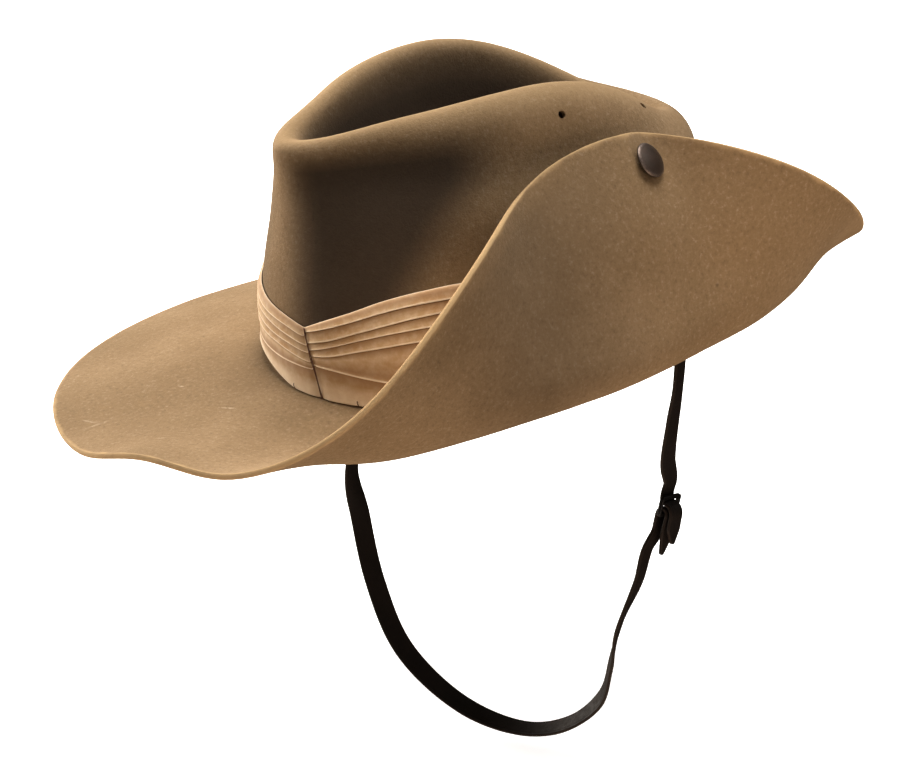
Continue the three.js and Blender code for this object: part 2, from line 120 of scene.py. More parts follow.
# Vents punched in the crown, as angle and level; each has a twin on the other side
VENTS = ((94, 3.74), (131, 3.83))

# Stud: where it sits on the turned-up brim, and the steps over which its axis is squared to the felt
STUD_ANGLE = 111.5
STUD_SHARE = 0.88
STUD_SEAT_ANGLE = 6
STUD_SEAT_SHARE = 0.06
STUD_PULL = Vector((-0.065, 0.13, -0.036))

# Band: heights in millimetres of its foot, its five folds and its top edge, by the turn from its seam
# towards the wearer's left, and how far the lowest fold stands out
BAND_COLUMNS = ("angle", "foot", "fold_1", "fold_2", "fold_3", "fold_4", "fold_5", "top", "low_step")
BAND_SECTIONS = (
    (0, 1.4, 15.7, 19.5, 21.9, 24.9, 29.6, 31.6, 1.0),
    (8, 1.4, 15.4, 21.8, 25.6, 28.4, 33.6, 36.9, 1.0),
    (16, 1.5, 14.1, 25.3, 29.8, 32.9, 38.0, 41.8, 1.0),
    (24, 1.6, 12.8, 28.2, 33.3, 36.9, 42.4, 46.8, 1.0),
    (34, 1.6, 11.5, 31.1, 36.5, 41.2, 46.5, 51.3, 1.0),
    (45, 1.6, 10.8, 32.9, 38.7, 43.8, 48.8, 54.4, 0.9),
    (90, 1.7, 10.5, 33.6, 39.4, 44.7, 50.0, 56.0, 0.8),
    (180, 2.0, 10.5, 32.0, 38.0, 43.5, 49.0, 55.0, 0.8),
    (260, 1.8, 11.0, 28.5, 34.5, 40.5, 46.5, 53.0, 0.8),
    (295, 4.5, 11.5, 23.0, 28.5, 34.0, 40.0, 46.0, 0.6),
    (320, 8.4, 12.6, 20.5, 25.0, 29.5, 34.0, 39.0, 0.4),
    (328, 8.4, 12.6, 20.0, 24.1, 28.6, 32.5, 37.3, 0.36),
    (336, 6.4, 12.4, 19.6, 23.3, 27.7, 31.1, 35.6, 0.35),
    (344, 3.2, 12.5, 19.3, 22.5, 26.5, 30.4, 34.5, 0.35),
    (348, 1.8, 12.8, 18.7, 22.2, 25.8, 30.0, 33.9, 0.38),
    (351, 1.4, 13.0, 18.2, 21.9, 25.4, 29.7, 33.4, 0.4),
    (360, 1.4, 13.5, 16.4, 20.6, 23.6, 27.5, 31.2, 0.5),
)
BAND_FOOT = 1.4
BAND_SEAM = 17.1
SEAM_LEAN = 5
SEAM_LEAN_SPREAD = 25

# Chin strap: points between the hat and the buckle in millimetres, each with the turn of the
# leather in degrees
LONG_ROUTE = (
    (-80, 1, -26, 40),
    (-79, -38, -90, 60),
    (-70, -40, -117, 8),
    (-54, -42, -147, 6),
    (-33, -39, -176, 18),
    (-4, -23, -199, 36),
    (24, -5, -204, 56),
    (43, 9, -196, 64),
    (56, 20, -179, 72),
    (63, 22, -157, 86),
    (68, 24, -134, 104),
    (70, 34, -112, 116),
    (70, 39, -97, 122),
)
SHORT_ROUTE = ((70, 57, -20, 62), (70, 54, -36, 54), (70, 51, -56, 46))
STRAP_FACING = Vector((0.81, -0.42, 0.41)).normalized()
LONG_WALL_ANGLE = 262
SHORT_WALL_ANGLE = 127
WALL_HEIGHTS = (15, 2)

# Buckle: its place and lean, and the strap's path through it as distance out of its face and up it
BUCKLE_AT = Vector((70.9, 49.5, -81.2))
BUCKLE_UP = Vector((0, 0.3, 0.954)).normalized()
BUCKLE_FACE_HINT = Vector((0.92, 0.37, 0))
FOLD_RADIUS = 2.5
FOLD_ANGLES = (180, 135, 90, 45, 0)
LONG_APPROACH = ((-2.5, -10), (-2.5, -4))
LONG_TAIL = ((2.5, -5), (2.6, -12), (2.4, -20))
SHORT_THREADING = (
    (-2.4, 15), (-2.4, 9.4), (-1.8, 6), (0.35, 4.9), (2.9, 4), (4.6, 1.4), (5, -2.6), (5.6, -8), (6.6, -13),
)

# View of the photograph
CAMERA_TARGET = Vector((53, -49, 0)) * MM
CAMERA_DISTANCE = 0.855
CAMERA_AZIMUTH = 62.5
CAMERA_ELEVATION = 24
CAMERA_ROLL = -3.5
CAMERA_LENS = 80
VIEW_GAMMA = 0.82
VIEW_EXPOSURE = 0.2

# Soft lights: name, direction that it comes from, strength, spread in degrees and colour
SOFT_LIGHTS = (
    ("overhead_window", (-0.1, 0.15, 0.98), 4.0, 40, (1, 1, 1)),
    ("side_window", (-0.89, -0.4, 0.2), 4.2, 34, (1, 0.95, 0.88)),
    ("left_card", (0.9, 0.17, -0.39), 0.9, 40, (1, 0.87, 0.75)),
    ("low_card", (0.58, -0.39, -0.72), 2.35, 40, (1, 0.87, 0.75)),
    ("back_window", (0.2, 0.75, 0.63), 0.6, 40, (1, 1, 1)),
    ("front_card", (-0.6, -0.7, -0.4), 1.4, 50, (1, 0.93, 0.84)),
)

# Small lamps with hoods: name, where it points in millimetres, the way to it, power and beam in degrees
HOODED_LAMPS = (
    ("crown_lamp", (72, -57, 32), (0.15, -0.82, 0.55), 20, 8.5),
    ("flap_lamp", (94, 90, 52), (0.85, -0.2, 0.45), 9, 12),
)
LAMP_DISTANCE = 0.8
LAMP_SIZE = 0.05
LAMP_TINT = (1, 0.88, 0.77)
SUN_DISTANCE = 2
FLOOR_SIZE = 14

# Dim light from the air: the heights between which it grows, and its strength at each
AIR_FADE = (("From Min", 0.05), ("From Max", 1), ("To Min", 0.02), ("To Max", 0.1))


def length(label, words, value, digits=4):
    return FloatProperty(name=label, description=words, default=value, unit="LENGTH", precision=digits)


def colour(label, words, value):
    return FloatVectorProperty(
        name=label, description=words, default=value, subtype="COLOR", size=3, min=0, max=1)


class HatSizes(bpy.types.PropertyGroup):
    """Sizes that a hatter would change"""

    felt_thickness: length("Felt thickness", "Thickness of the felt wall", 0.0025)
    felt_columns: IntProperty(
        name="Felt columns", description="Stations round the hat before smoothing", default=120)
    felt_waver: length("Felt waver", "How far the felt wanders from its block", 0.0005, 5)
    vent_radius: length("Vent radius", "Radius of a punched vent", 0.0017)
    band_gap: length("Band gap", "Space between the felt and the band", 0.00035, 5)
    band_step: FloatProperty(
        name="Band step", description="Degrees between the band's stations before smoothing", default=2.0)
    band_cloth: length("Band cloth", "Thickness of the band between folds", 0.0009)
    pleat_step: length("Pleat step", "How far each fold stands proud of the next", 0.00095, 5)
    thread_radius: length("Thread radius", "Radius of the sewing thread", 0.0002, 5)
    strap_width: length("Strap width", "Width of the chin strap", 0.010)
    strap_thickness: length("Strap thickness", "Thickness of the leather", 0.0016)
    stud_radius: length("Stud radius", "Radius of the stud's cap", 0.008)
    buckle_width: length("Buckle width", "Width of the buckle loop", 0.0156)
    buckle_bar: length("Buckle bar", "Height of a buckle bar", 0.002)
    buckle_slot: length("Buckle slot", "Height of the buckle's slot", 0.0058)
    floor_drop: length("Floor drop", "Space between the strap's lowest point and the floor", 0.006)


class HatColours(bpy.types.PropertyGroup):
    """Colours that a hatter would change"""

    felt: colour("Felt", "Main tan of the felt", (0.30, 0.207, 0.119))
    felt_dark: colour("Felt shade", "Darker patches of the felt", (0.24, 0.162, 0.089))
    # Also the paint of the painted highlight along the crown's crest
    felt_edge_and_highlight: colour("Felt edge", "Worn orange tan at the brim's edge", (0.46, 0.32, 0.175))
    felt_scuff: colour("Felt scuff", "Pale rubbed marks", (0.55, 0.45, 0.34))
    # Also the paint of the painted shade in the crease, the pinched sides and the turned-up side's middle
    felt_nick_and_shade: colour("Felt nick", "Small dark marks", (0.06, 0.043, 0.031))
    band: colour("Band", "Cream cotton of the band", (0.55, 0.387, 0.225))
    # Also the paint of the painted highlight on the band's fold edges
    band_fold_and_highlight: colour("Band fold", "Pale rubbed crest of a fold", (0.95, 0.83, 0.65))
    # Also the paint of the painted shade under the band's folds
    band_dark_tone_and_shade: colour("Band valley", "Shade kept behind a fold", (0.36, 0.22, 0.125))
    thread: colour("Thread", "Brown sewing thread", (0.2, 0.1, 0.058))
    strap: colour("Strap", "Dark brown leather", (0.02, 0.0145, 0.0115))
    strap_edge: colour("Strap edge", "Rubbed edge of the leather", (0.045, 0.03, 0.021))
    stud: colour("Stud", "Bronzed metal", (0.062, 0.044, 0.033))
    stud_bright: colour("Stud rub", "Bare metal at the stud's rim", (0.5, 0.4, 0.34))
    buckle: colour("Buckle", "Black japanned metal", (0.018, 0.015, 0.013))
    floor: colour("Floor", "Pale studio floor", (0.82, 0.815, 0.81))


# Curves and tables

def rows_of(columns, table):
    return [dict(zip(columns, row)) for row in table]


CROWN = rows_of(CROWN_COLUMNS, CROWN_LEVELS)
BRIM = rows_of(BRIM_COLUMNS, BRIM_SECTIONS)
BAND = rows_of(BAND_COLUMNS, BAND_SECTIONS)


def smoothstep(x):
    t = min(max(x, 0.0), 1.0)
    return t * t * (3 - 2 * t)


def catmull_rom(a, b, c, d, t):
    square = (2 * a - 5 * b + 4 * c - d) * t * t
    cube = (3 * b - a - 3 * c + d) * t ** 3
    return 0.5 * (2 * b + (c - a) * t + square + cube)


def hermite(before, low, high, after, places, at):
    """A row between two rows of a table, on the smooth curve through its neighbours."""
    span = places[2] - places[1]
    t = (at - places[1]) / span
    found = {}
    for key in low:
        start = (high[key] - before[key]) / (places[2] - places[0])
        end = (after[key] - low[key]) / (places[3] - places[1])
        bend = start * (t ** 3 - 2 * t ** 2 + t) + end * (t ** 3 - t ** 2)
        found[key] = low[key] + (high[key] - low[key]) * smoothstep(t) + span * bend
    return found


def row_at_angle(rows, angle):
    """A row of a table keyed by angle that closes round the hat."""
    first = rows[0]["angle"]
    turn = first + (angle - first) % 360
    count = len(rows)
    i = max(k for k in range(count) if rows[k]["angle"] <= turn)
    near = range(i - 1, i + 3)
    places = [rows[k % count]["angle"] + 360 * (k // count) for k in near]
    return hermite(*(rows[k % count] for k in near), places, turn)


def row_between(rows, angle):
    """A row of a table keyed by angle that is open at its two ends."""
    last = len(rows) - 1
    i = min(max(k for k in range(last + 1) if rows[k]["angle"] <= angle), last - 1)
    near = [min(max(k, 0), last) for k in range(i - 1, i + 3)]
    return hermite(*(rows[k] for k in near), [rows[k]["angle"] for k in near], angle)


def from_front(angle):
    return abs((angle + 180) % 360 - 180)


# The crown and the brim as surfaces, in metres

# Steps over which a slope is taken, and the search for the level of a height on the crown's wall
ANGLE_STEP = 0.5
LEVEL_STEP = 0.02
WALL_TOP_LEVEL = 3.0
WALL_SEARCH_STEPS = 24


def crown_row(level):
    last = len(CROWN) - 1
    i = min(int(math.floor(level)), last - 1)
    near = [CROWN[min(max(k, 0), last)] for k in range(i - 1, i + 3)]
    return {key: catmull_rom(*(row[key] for row in near), level - i) for key in CROWN[0]}


def signed_power(value, power):
    return math.copysign(abs(value) ** power, value)


def crown_point(angle, level):
    row = crown_row(level)
    turn = math.radians(angle)
    ahead = math.cos(turn)
    power = 2 / (row["front_power"] if ahead >= 0 else row["back_power"])
    length = row["front"] if ahead >= 0 else row["back"]
    pinch = row["dent"] * math.exp(-((from_front(angle) - DENT_ANGLE) / DENT_SPREAD) ** 2)
    lift = (row["z_front"] - row["z_side"]) * max(ahead, 0) ** 2
    drop = (row["z_back"] - row["z_side"]) * max(-ahead, 0) ** 2
    return Vector((
        row["side"] * signed_power(math.sin(turn), power) * (1 - pinch),
        -length * signed_power(ahead, power) * (1 - DENT_DEPTH_SHARE * pinch),
        row["z_side"] + lift + drop,
    )) * MM


def normal_of(surface, angle, value, step, angle_step=ANGLE_STEP):
    """Unit normal of a surface given by angle and a second value, pointing out of the hat."""
    across = surface(angle + angle_step, value) - surface(angle - angle_step, value)
    along = surface(angle, value + step) - surface(angle, value - step)
    return across.cross(along).normalized()


def level_at_height(angle, height):
    """Level of the crown's wall at a height, found by halving."""
    low, high = 0.0, WALL_TOP_LEVEL
    for _ in range(WALL_SEARCH_STEPS):
        middle = (low + high) / 2
        if crown_point(angle, middle).z < height:
            low = middle
        else:
            high = middle
    return low


def wall_point(angle, height, offset):
    """A point level with the given height, offset from the crown's wall."""
    level = max(level_at_height(angle, height), LEVEL_STEP)
    normal = normal_of(crown_point, angle, level, LEVEL_STEP)
    normal.z = 0
    point = crown_point(angle, level) + normal.normalized() * offset
    point.z = height
    return point


def brim_profile(angle):
    """Outward and upward places along one section of the brim, and its width, in millimetres."""
    row = row_at_angle(BRIM, angle)
    bend_length = max(row["radius"] * abs(math.radians(row["curl"])), LEAST_BEND)
    step = row["width"] / PROFILE_STEPS
    out, up = [0.0], [0.0]
    for k in range(PROFILE_STEPS):
        share = (k + 0.5) / PROFILE_STEPS
        bend = min(max((share * row["width"] - row["run"]) / bend_length, 0), 1)
        nod = row["nod"] * smoothstep((share - NOD_START) / NOD_LENGTH)
        lean = math.radians(row["slope"] + row["curl"] * bend + nod)
        out.append(out[-1] + math.cos(lean) * step)
        up.append(up[-1] + math.sin(lean) * step)
    return out, up, row["width"]


def break_direction(angle):
    """Unit direction along the break, round the hat."""
    return (crown_point(angle + ANGLE_STEP, 0) - crown_point(angle - ANGLE_STEP, 0)).normalized()


def on_section(start, along, profile, share):
    """A point at a share of the way along one section of the brim, from its start at the break."""
    out, up, _ = profile
    place = share * PROFILE_STEPS
    marks = range(PROFILE_STEPS + 1)
    step = Vector((along.y, -along.x, 0)) * np.interp(place, marks, out)
    return start + (step + Vector((0, 0, np.interp(place, marks, up)))) * MM


def brim_point(angle, share):
    start = crown_point(angle, 0)
    return on_section(start, break_direction(angle), brim_profile(angle), min(max(share, 0), 1))


# Modelling helpers

START_RADIUS = 0.1
WELD = 1e-6
SMOOTH_ANGLE = math.radians(40)


def deselect():
    if bpy.context.object and bpy.context.object.mode != "OBJECT":
        bpy.ops.object.mode_set(mode="OBJECT")
    bpy.ops.object.select_all(action="DESELECT")


def make_active(piece):
    deselect()
    piece.select_set(True)
    bpy.context.view_layer.objects.active = piece


def place_selected(mesh, row, ring):
    """Puts the selected ring of vertices where the station says, and marks its row."""
    edit = bmesh.from_edit_mesh(mesh)
    column_mark = edit.verts.layers.int["column"]
    row_mark = edit.verts.layers.int["row"]
    for vert in edit.verts:
        if vert.select:
            vert.co = ring[vert[column_mark]]
            vert[row_mark] = row
    bmesh.update_edit_mesh(mesh)


def loft(name, rings):
    """Adds a circle and extrudes it from station to station, leaving the sheet open at both ends."""
    deselect()
    bpy.ops.mesh.primitive_circle_add(vertices=len(rings[0]), radius=START_RADIUS)
    piece = bpy.context.object
    piece.name = name
    piece.data.name = name
    bpy.ops.object.mode_set(mode="EDIT")
    edit = bmesh.from_edit_mesh(piece.data)
    edit.verts.layers.int.new("column")
    edit.verts.layers.int.new("row")
    edit.verts.ensure_lookup_table()
    column_mark = edit.verts.layers.int["column"]
    for index, vert in enumerate(edit.verts):
        vert[column_mark] = index
    place_selected(piece.data, 0, rings[0])
    for row, ring in enumerate(rings[1:], 1):
        bpy.ops.mesh.extrude_edges_move()
        place_selected(piece.data, row, ring)
    bpy.ops.object.mode_set(mode="OBJECT")
    return piece


def outward_normals():
    bpy.ops.mesh.select_mode(type="VERT")
    bpy.ops.mesh.select_all(action="SELECT")
    bpy.ops.mesh.remove_doubles(threshold=WELD)
    bpy.ops.mesh.normals_make_consistent(inside=False)


def close(piece, fill):
    """Closes the open rings of a loft with the given operator."""
    make_active(piece)
    bpy.ops.object.mode_set(mode="EDIT")
    bpy.ops.mesh.select_mode(type="EDGE")
    bpy.ops.mesh.select_all(action="DESELECT")
    bpy.ops.mesh.select_non_manifold()
    fill()
    outward_normals()
    bpy.ops.object.mode_set(mode="OBJECT")


def marks_of(piece):
    """Column and row of each vertex of a loft."""
    found = []
    for name in ("column", "row"):
        values = np.zeros(len(piece.data.vertices), np.int32)
        piece.data.attributes[name].data.foreach_get("value", values)
        found.append(values)
    return found


def add_value(piece, name, values):
    layer = piece.data.attributes.new(name, "FLOAT", "POINT")
    layer.data.foreach_set("value", np.asarray(values, np.float32))


def spread(values):
    return max(values) - min(values)


def lay_map(piece, columns, rows, last_row=None):
    """UV map in metres: places round the ring for u and along the rows for v, closed without a jump."""
    column, row = marks_of(piece)
    count = len(columns) - 1
    layer = piece.data.uv_layers.new(name="lengths")
    for polygon in piece.data.polygons:
        loops = list(polygon.loop_indices)
        verts = [piece.data.loops[k].vertex_index for k in loops]
        wraps = spread([column[v] for v in verts]) > count / 2
        closes = last_row is not None and spread([row[v] for v in verts]) > len(rows) / 2
        for k, v in zip(loops, verts):
            c = count if wraps and column[v] == 0 else column[v]
            height = last_row if closes and row[v] == 0 else rows[row[v]]
            layer.data[k].uv = (columns[c], height)


def drop_marks(piece):
    for name in ("column", "row"):
        layer = piece.data.attributes.get(name)
        if layer is not None:
            piece.data.attributes.remove(layer)


def finish_modifier(piece, kind, **settings):
    make_active(piece)
    bpy.ops.object.modifier_add(type=kind)
    modifier = piece.modifiers[-1]
    for name, value in settings.items():
        setattr(modifier, name, value)
    bpy.ops.object.modifier_apply(modifier=modifier.name)


def smooth(piece, levels):
    if levels:
        finish_modifier(piece, "SUBSURF", levels=levels, render_levels=levels)
    make_active(piece)
    bpy.ops.object.shade_smooth()


def smooth_by_angle(piece):
    """Smooths a piece and keeps its sharp edges."""
    make_active(piece)
    bpy.ops.object.shade_smooth_by_angle(angle=SMOOTH_ANGLE)


def dress(piece, material, slot, *nodes):
    """Gives a finished piece its material and body, and hides the nodes that it stands for; its slot is not
    used.
    """
    drop_marks(piece)
    piece.data.materials.clear()
    piece.data.materials.append(material)
    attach(piece, BODY)
    if nodes:
        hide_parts(*nodes)


def join(pieces, name):
    deselect()
    for piece in pieces:
        piece.select_set(True)
    bpy.context.view_layer.objects.active = pieces[0]
    bpy.ops.object.join()
    pieces[0].name = name
    pieces[0].data.name = name
    return pieces[0]


def running_lengths(points):
    total = [0.0]
    for a, b in zip(points, points[1:]):
        total.append(total[-1] + (b - a).length)
    return total


def heading(points, i):
    """Unit direction of a line of points at one of them."""
    return (points[min(i + 1, len(points) - 1)] - points[max(i - 1, 0)]).normalized()


def circle(centre, side, other, radius, count):
    """Points round a circle in the plane of two unit vectors."""
    turns = [2 * math.pi * k / count for k in range(count)]
    return [centre + (side * math.cos(t) + other * math.sin(t)) * radius for t in turns]


# Materials

class Finish:
    """A material under construction, with short calls for its nodes."""

    def __init__(self, name):
        self.material = bpy.data.materials.new(name)
        self.material.use_nodes = True
        self.tree = self.material.node_tree
        self.shader = self.tree.nodes["Principled BSDF"]
        self.column = 0

    def add(self, kind, inputs=None, **settings):
        node = self.tree.nodes.new("ShaderNode" + kind)
        node.location = (-1800 + 180 * (self.column % 9), 500 - 220 * (self.column // 9))
        self.column += 1
        for name, value in settings.items():
            setattr(node, name, value)
        for name, value in (inputs or {}).items():
            self.feed(node.inputs[name], value)
        return node

    def feed(self, socket, value):
        if isinstance(value, bpy.types.NodeSocket):
            self.tree.links.new(value, socket)
        elif socket.type == "RGBA" and len(value) == 3:
            socket.default_value = (*value, 1)
        else:
            socket.default_value = value

    def object_place(self):
        return self.add("TexCoord").outputs["Object"]

    def map_place(self):
        return self.add("TexCoord").outputs["UV"]

    def value(self, name):
        return self.add("Attribute", attribute_name=name).outputs["Fac"]

    def noise(self, place, scale, detail=3.0, roughness=0.5):
        inputs = {"Vector": place, "Scale": scale, "Detail": detail, "Roughness": roughness}
        return self.add("TexNoise", inputs).outputs["Fac"]

    def ramp(self, value, low, high, start=0.0, end=1.0):
        """Value brought from low..high to start..end, kept inside."""
        inputs = {"Value": value, "From Min": low, "From Max": high, "To Min": start, "To Max": end}
        return self.add("MapRange", inputs, interpolation_type="SMOOTHSTEP").outputs["Result"]

    def sum(self, operation, a, b):
        return self.add("Math", {0: a, 1: b}, operation=operation).outputs["Value"]

    def mix(self, share, a, b, blend="MIX"):
        node = self.add("Mix", data_type="RGBA", blend_type=blend)
        self.feed(node.inputs["Factor"], share)
        self.feed(node.inputs[6], a)
        self.feed(node.inputs[7], b)
        return node.outputs[2]

    def spot(self, place, centre, size, turn=(0, 0, 0)):
        """1 at the middle of an ellipsoid mark and 0 at its border."""
        inputs = {"Vector": place, "Location": centre, "Rotation": turn, "Scale": size}
        moved = self.add("Mapping", inputs, vector_type="TEXTURE").outputs["Vector"]
        return self.add("TexGradient", {"Vector": moved}, gradient_type="SPHERICAL").outputs["Fac"]

    def bump(self, height, strength, distance):
        inputs = {"Height": height, "Strength": strength, "Distance": distance}
        return self.add("Bump", inputs).outputs["Normal"]

    def wave(self, along, pitch):
        """A wave of the given pitch along a length, from -1 to 1."""
        return self.sum("SINE", self.sum("MULTIPLY", along, 2 * math.pi / pitch), 0.0)

    def tint(self, base, value, low, high, share, paint):
        """The base brought up to a share of the way to a paint, where a value goes from low to high."""
        return self.mix(self.ramp(value, low, high, 0.0, share), base, paint)

    def stain(self, base, name, share, paint):
        """The base brought towards a paint by one of the piece's own values."""
        return self.mix(self.sum("MULTIPLY", self.value(name), share), base, paint)

    def done(self, **sockets):
        """Feeds the shader's sockets, named in lower case with underscores."""
        for name, value in sockets.items():
            label = name.replace("_", " ").title().replace("Ior", "IOR")
            self.feed(self.shader.inputs[label], value)
        return self.material


# Rubbed places on the felt: angle, share of the brim, the mark's half sizes in millimetres, its turn in
# degrees and its strength; their lift and depth in millimetres; and a dark nick with its half size
FELT_SCUFFS = (
    (4.2, 0.34, 6.0, 0.9, 41, 0.55),
    (348.7, 0.424, 2.6, 1.1, 20, 0.5),
    (7.9, 0.743, 3.4, 1.2, 40, 0.4),
    (353.7, 0.85, 11.0, 1.3, 88, 0.3),
    (351.9, 0.86, 7.0, 1.0, 24, 0.35),
    (128.8, 0.306, 2.4, 2.2, 0, 0.3),
)
SCUFF_LIFT = 1.25
SCUFF_DEPTH = 3
FELT_NICK = (119.6, 0.414, 1.9)
# How far the crown's crest is paler, from rub and a painted highlight, and how far painted shade
# darkens the crease, the pinched sides and the middle of the turned-up side
CREST_RUB_AND_HIGHLIGHT = 0.4
PAINTED_SHADE_DEPTH = 0.9


def felt_finish(colours):
    made = Finish("brushed felt")
    place = made.object_place()
    cloud = made.noise(place, 16, 4)
    patch = made.noise(place, 95, 5, 0.6)
    fibre = made.noise(place, 1100, 3, 0.7)
    grain = made.noise(place, 520, 4, 0.75)
    base = made.tint(colours.felt_dark, cloud, 0.35, 0.68, 1.0, colours.felt)
    base = made.tint(base, patch, 0.3, 0.75, 0.5, colours.felt_dark)
    base = made.tint(base, grain, 0.5, 0.8, 0.3, colours.felt_scuff)
    base = made.tint(base, grain, 0.5, 0.2, 0.4, colours.felt_nick_and_shade)
    base = made.tint(base, fibre, 0.45, 0.2, 0.3, colours.felt_nick_and_shade)
    ragged = made.sum("ADD", made.value("rim"), made.ramp(patch, 0.2, 0.8, -0.35, 0.35))
    base = made.tint(base, ragged, 0.15, 1.0, 0.85, colours.felt_edge_and_highlight)
    # Rub and a painted highlight along the crown's crest
    base = made.stain(base, "crest", CREST_RUB_AND_HIGHLIGHT, colours.felt_edge_and_highlight)
    # Painted shade in the crease, the pinched sides and the middle of the turned-up side
    base = made.stain(base, "painted_shade", PAINTED_SHADE_DEPTH, colours.felt_nick_and_shade)
    for angle, share, long, wide, turn, strength in FELT_SCUFFS:
        centre = brim_point(angle, share) + Vector((0, 0, SCUFF_LIFT * MM))
        size = (long * MM, wide * MM, SCUFF_DEPTH * MM)
        mark = made.spot(place, centre, size, (0, 0, math.radians(turn)))
        rubbed = made.sum("MULTIPLY", made.ramp(mark, 0.0, 0.8), made.ramp(grain, 0.35, 0.65, 0.2, 1.0))
        base = made.mix(made.sum("MULTIPLY", rubbed, strength), base, colours.felt_scuff)
    angle, share, wide = FELT_NICK
    nick = made.spot(place, brim_point(angle, share), (wide * MM, wide * MM, wide * MM))
    base = made.tint(base, nick, 0.05, 0.5, 0.8, colours.felt_nick_and_shade)
    nap = made.sum("ADD", made.sum("MULTIPLY", fibre, 0.6), made.sum("MULTIPLY", patch, 0.8))
    return made.done(
        base_color=base,
        roughness=made.ramp(patch, 0.2, 0.8, 0.86, 0.98),
        normal=made.bump(nap, 0.7, 0.0006),
        specular_ior_level=0.15,
        sheen_weight=0.1,
        sheen_roughness=0.45,
        sheen_tint=(0.85, 0.72, 0.55),
    )


# Pitch in metres of the band's weave round and up it, and of the sewing thread's twist
WEAVE_PITCHES = (("X", 0.00055), ("Y", 0.00050))
THREAD_TWIST = 0.0009


def band_finish(colours):
    made = Finish("pleated cotton")
    place = made.object_place()
    lengths = made.add("SeparateXYZ", {"Vector": made.map_place()})
    threads = [made.wave(lengths.outputs[axis], pitch) for axis, pitch in WEAVE_PITCHES]
    weave = made.sum("MULTIPLY", *threads)
    cloud = made.noise(place, 45, 4)
    patch = made.noise(place, 260, 4, 0.6)
    base = made.mix(made.ramp(cloud, 0.3, 0.7, 0.0, 0.45), colours.band, colours.band_dark_tone_and_shade, "SOFT_LIGHT")
    base = made.tint(base, patch, 0.35, 0.75, 0.3, colours.band_fold_and_highlight)
    # Painted shade under each fold
    base = made.stain(base, "fold_painted_shade", 0.75, colours.band_dark_tone_and_shade)
    # Rub and a painted highlight on each rolled fold edge
    base = made.stain(base, "fold", 0.9, colours.band_fold_and_highlight)
    base = made.tint(base, weave, -1, 1, 0.12, colours.band_dark_tone_and_shade)
    height = made.sum("ADD", made.sum("MULTIPLY", weave, 0.25), patch)
    return made.done(
        base_color=base,
        roughness=made.ramp(cloud, 0.2, 0.8, 0.78, 0.92),
        normal=made.bump(height, 0.4, 0.0004),
        specular_ior_level=0.2,
        sheen_weight=0.15,
        sheen_roughness=0.5,
    )


def thread_finish(colours):
    made = Finish("sewing thread")
    lengths = made.add("SeparateXYZ", {"Vector": made.map_place()})
    twist = made.wave(made.sum("ADD", lengths.outputs["X"], lengths.outputs["Y"]), THREAD_TWIST)
    return made.done(
        base_color=made.tint(colours.thread, twist, -1, 1, 0.6, colours.strap_edge),
        roughness=made.ramp(twist, -1, 1, 0.7, 0.85),
        normal=made.bump(twist, 0.6, 0.0002),
    )


def leather_finish(colours):
    made = Finish("strap leather")
    place = made.object_place()
    cells = made.add("TexVoronoi", {"Vector": place, "Scale": 1500.0}, feature="DISTANCE_TO_EDGE")
    grain = made.ramp(cells.outputs["Distance"], 0.0, 0.35)
    cloud = made.noise(place, 70, 4)
    crease = made.noise(place, 420, 5, 0.65)
    base = made.tint(colours.strap, cloud, 0.35, 0.75, 0.25, colours.strap_edge)
    worn = made.sum("MULTIPLY", made.value("rub"), made.ramp(crease, 0.3, 0.65, 0.25, 1.0))
    base = made.mix(worn, base, colours.strap_edge)
    height = made.sum("ADD", made.sum("MULTIPLY", grain, 0.35), crease)
    return made.done(
        base_color=base,
        roughness=made.ramp(crease, 0.25, 0.75, 0.5, 0.75),
        normal=made.bump(height, 0.45, 0.0003),
        specular_ior_level=0.14,
    )


def stud_finish(colours):
    made = Finish("bronzed stud")
    place = made.object_place()
    cloud = made.noise(place, 260, 4)
    fine = made.noise(place, 1600, 4, 0.65)
    base = made.mix(made.ramp(cloud, 0.35, 0.7, 0.0, 0.6), colours.stud, colours.stud_bright, "SOFT_LIGHT")
    rubbed = made.sum("MULTIPLY", made.value("rub"), made.ramp(fine, 0.35, 0.65, 0.35, 1.0))
    return made.done(
        base_color=made.mix(rubbed, base, colours.stud_bright),
        roughness=made.ramp(fine, 0.3, 0.75, 0.38, 0.55),
        normal=made.bump(fine, 0.15, 0.0002),
        metallic=0.6,
    )


def buckle_finish(colours):
    made = Finish("black buckle")
    place = made.object_place()
    cloud = made.noise(place, 320, 4)
    fine = made.noise(place, 1800, 4, 0.65)
    return made.done(
        base_color=made.tint(colours.buckle, fine, 0.6, 0.72, 0.5, colours.stud_bright),
        roughness=made.ramp(cloud, 0.3, 0.7, 0.3, 0.5),
        normal=made.bump(fine, 0.15, 0.0002),
        metallic=0.6,
    )


FLOOR_GLOW = 0.65
FLOOR_MOTTLE = (0.72, 0.72, 0.72)


def floor_finish(colours):
    made = Finish("studio floor")
    mottle = made.noise(made.object_place(), 3, 3)
    return made.done(
        base_color=made.tint(colours.floor, mottle, 0.3, 0.7, 0.04, FLOOR_MOTTLE),
        roughness=0.9,
        specular_ior_level=0.1,
        emission_color=(1, 1, 1),
        emission_strength=FLOOR_GLOW,
    )


# Felt

BRIM_RINGS = (
    1, 0.991, 0.97, 0.94, 0.9, 0.855, 0.81, 0.76, 0.71, 0.66, 0.61, 0.56, 0.51, 0.46, 0.41, 0.365, 0.32,
    0.28, 0.24, 0.2, 0.165, 0.13, 0.095, 0.06, 0.03, 0.01,
)
CROWN_LOW_RINGS = (0, 0.06, 0.16, 0.3, 0.5)
CROWN_HIGH_START = 0.75
CROWN_STEPS = 40
# Level up to which the band holds the felt true
BAND_LEVEL = 1.75
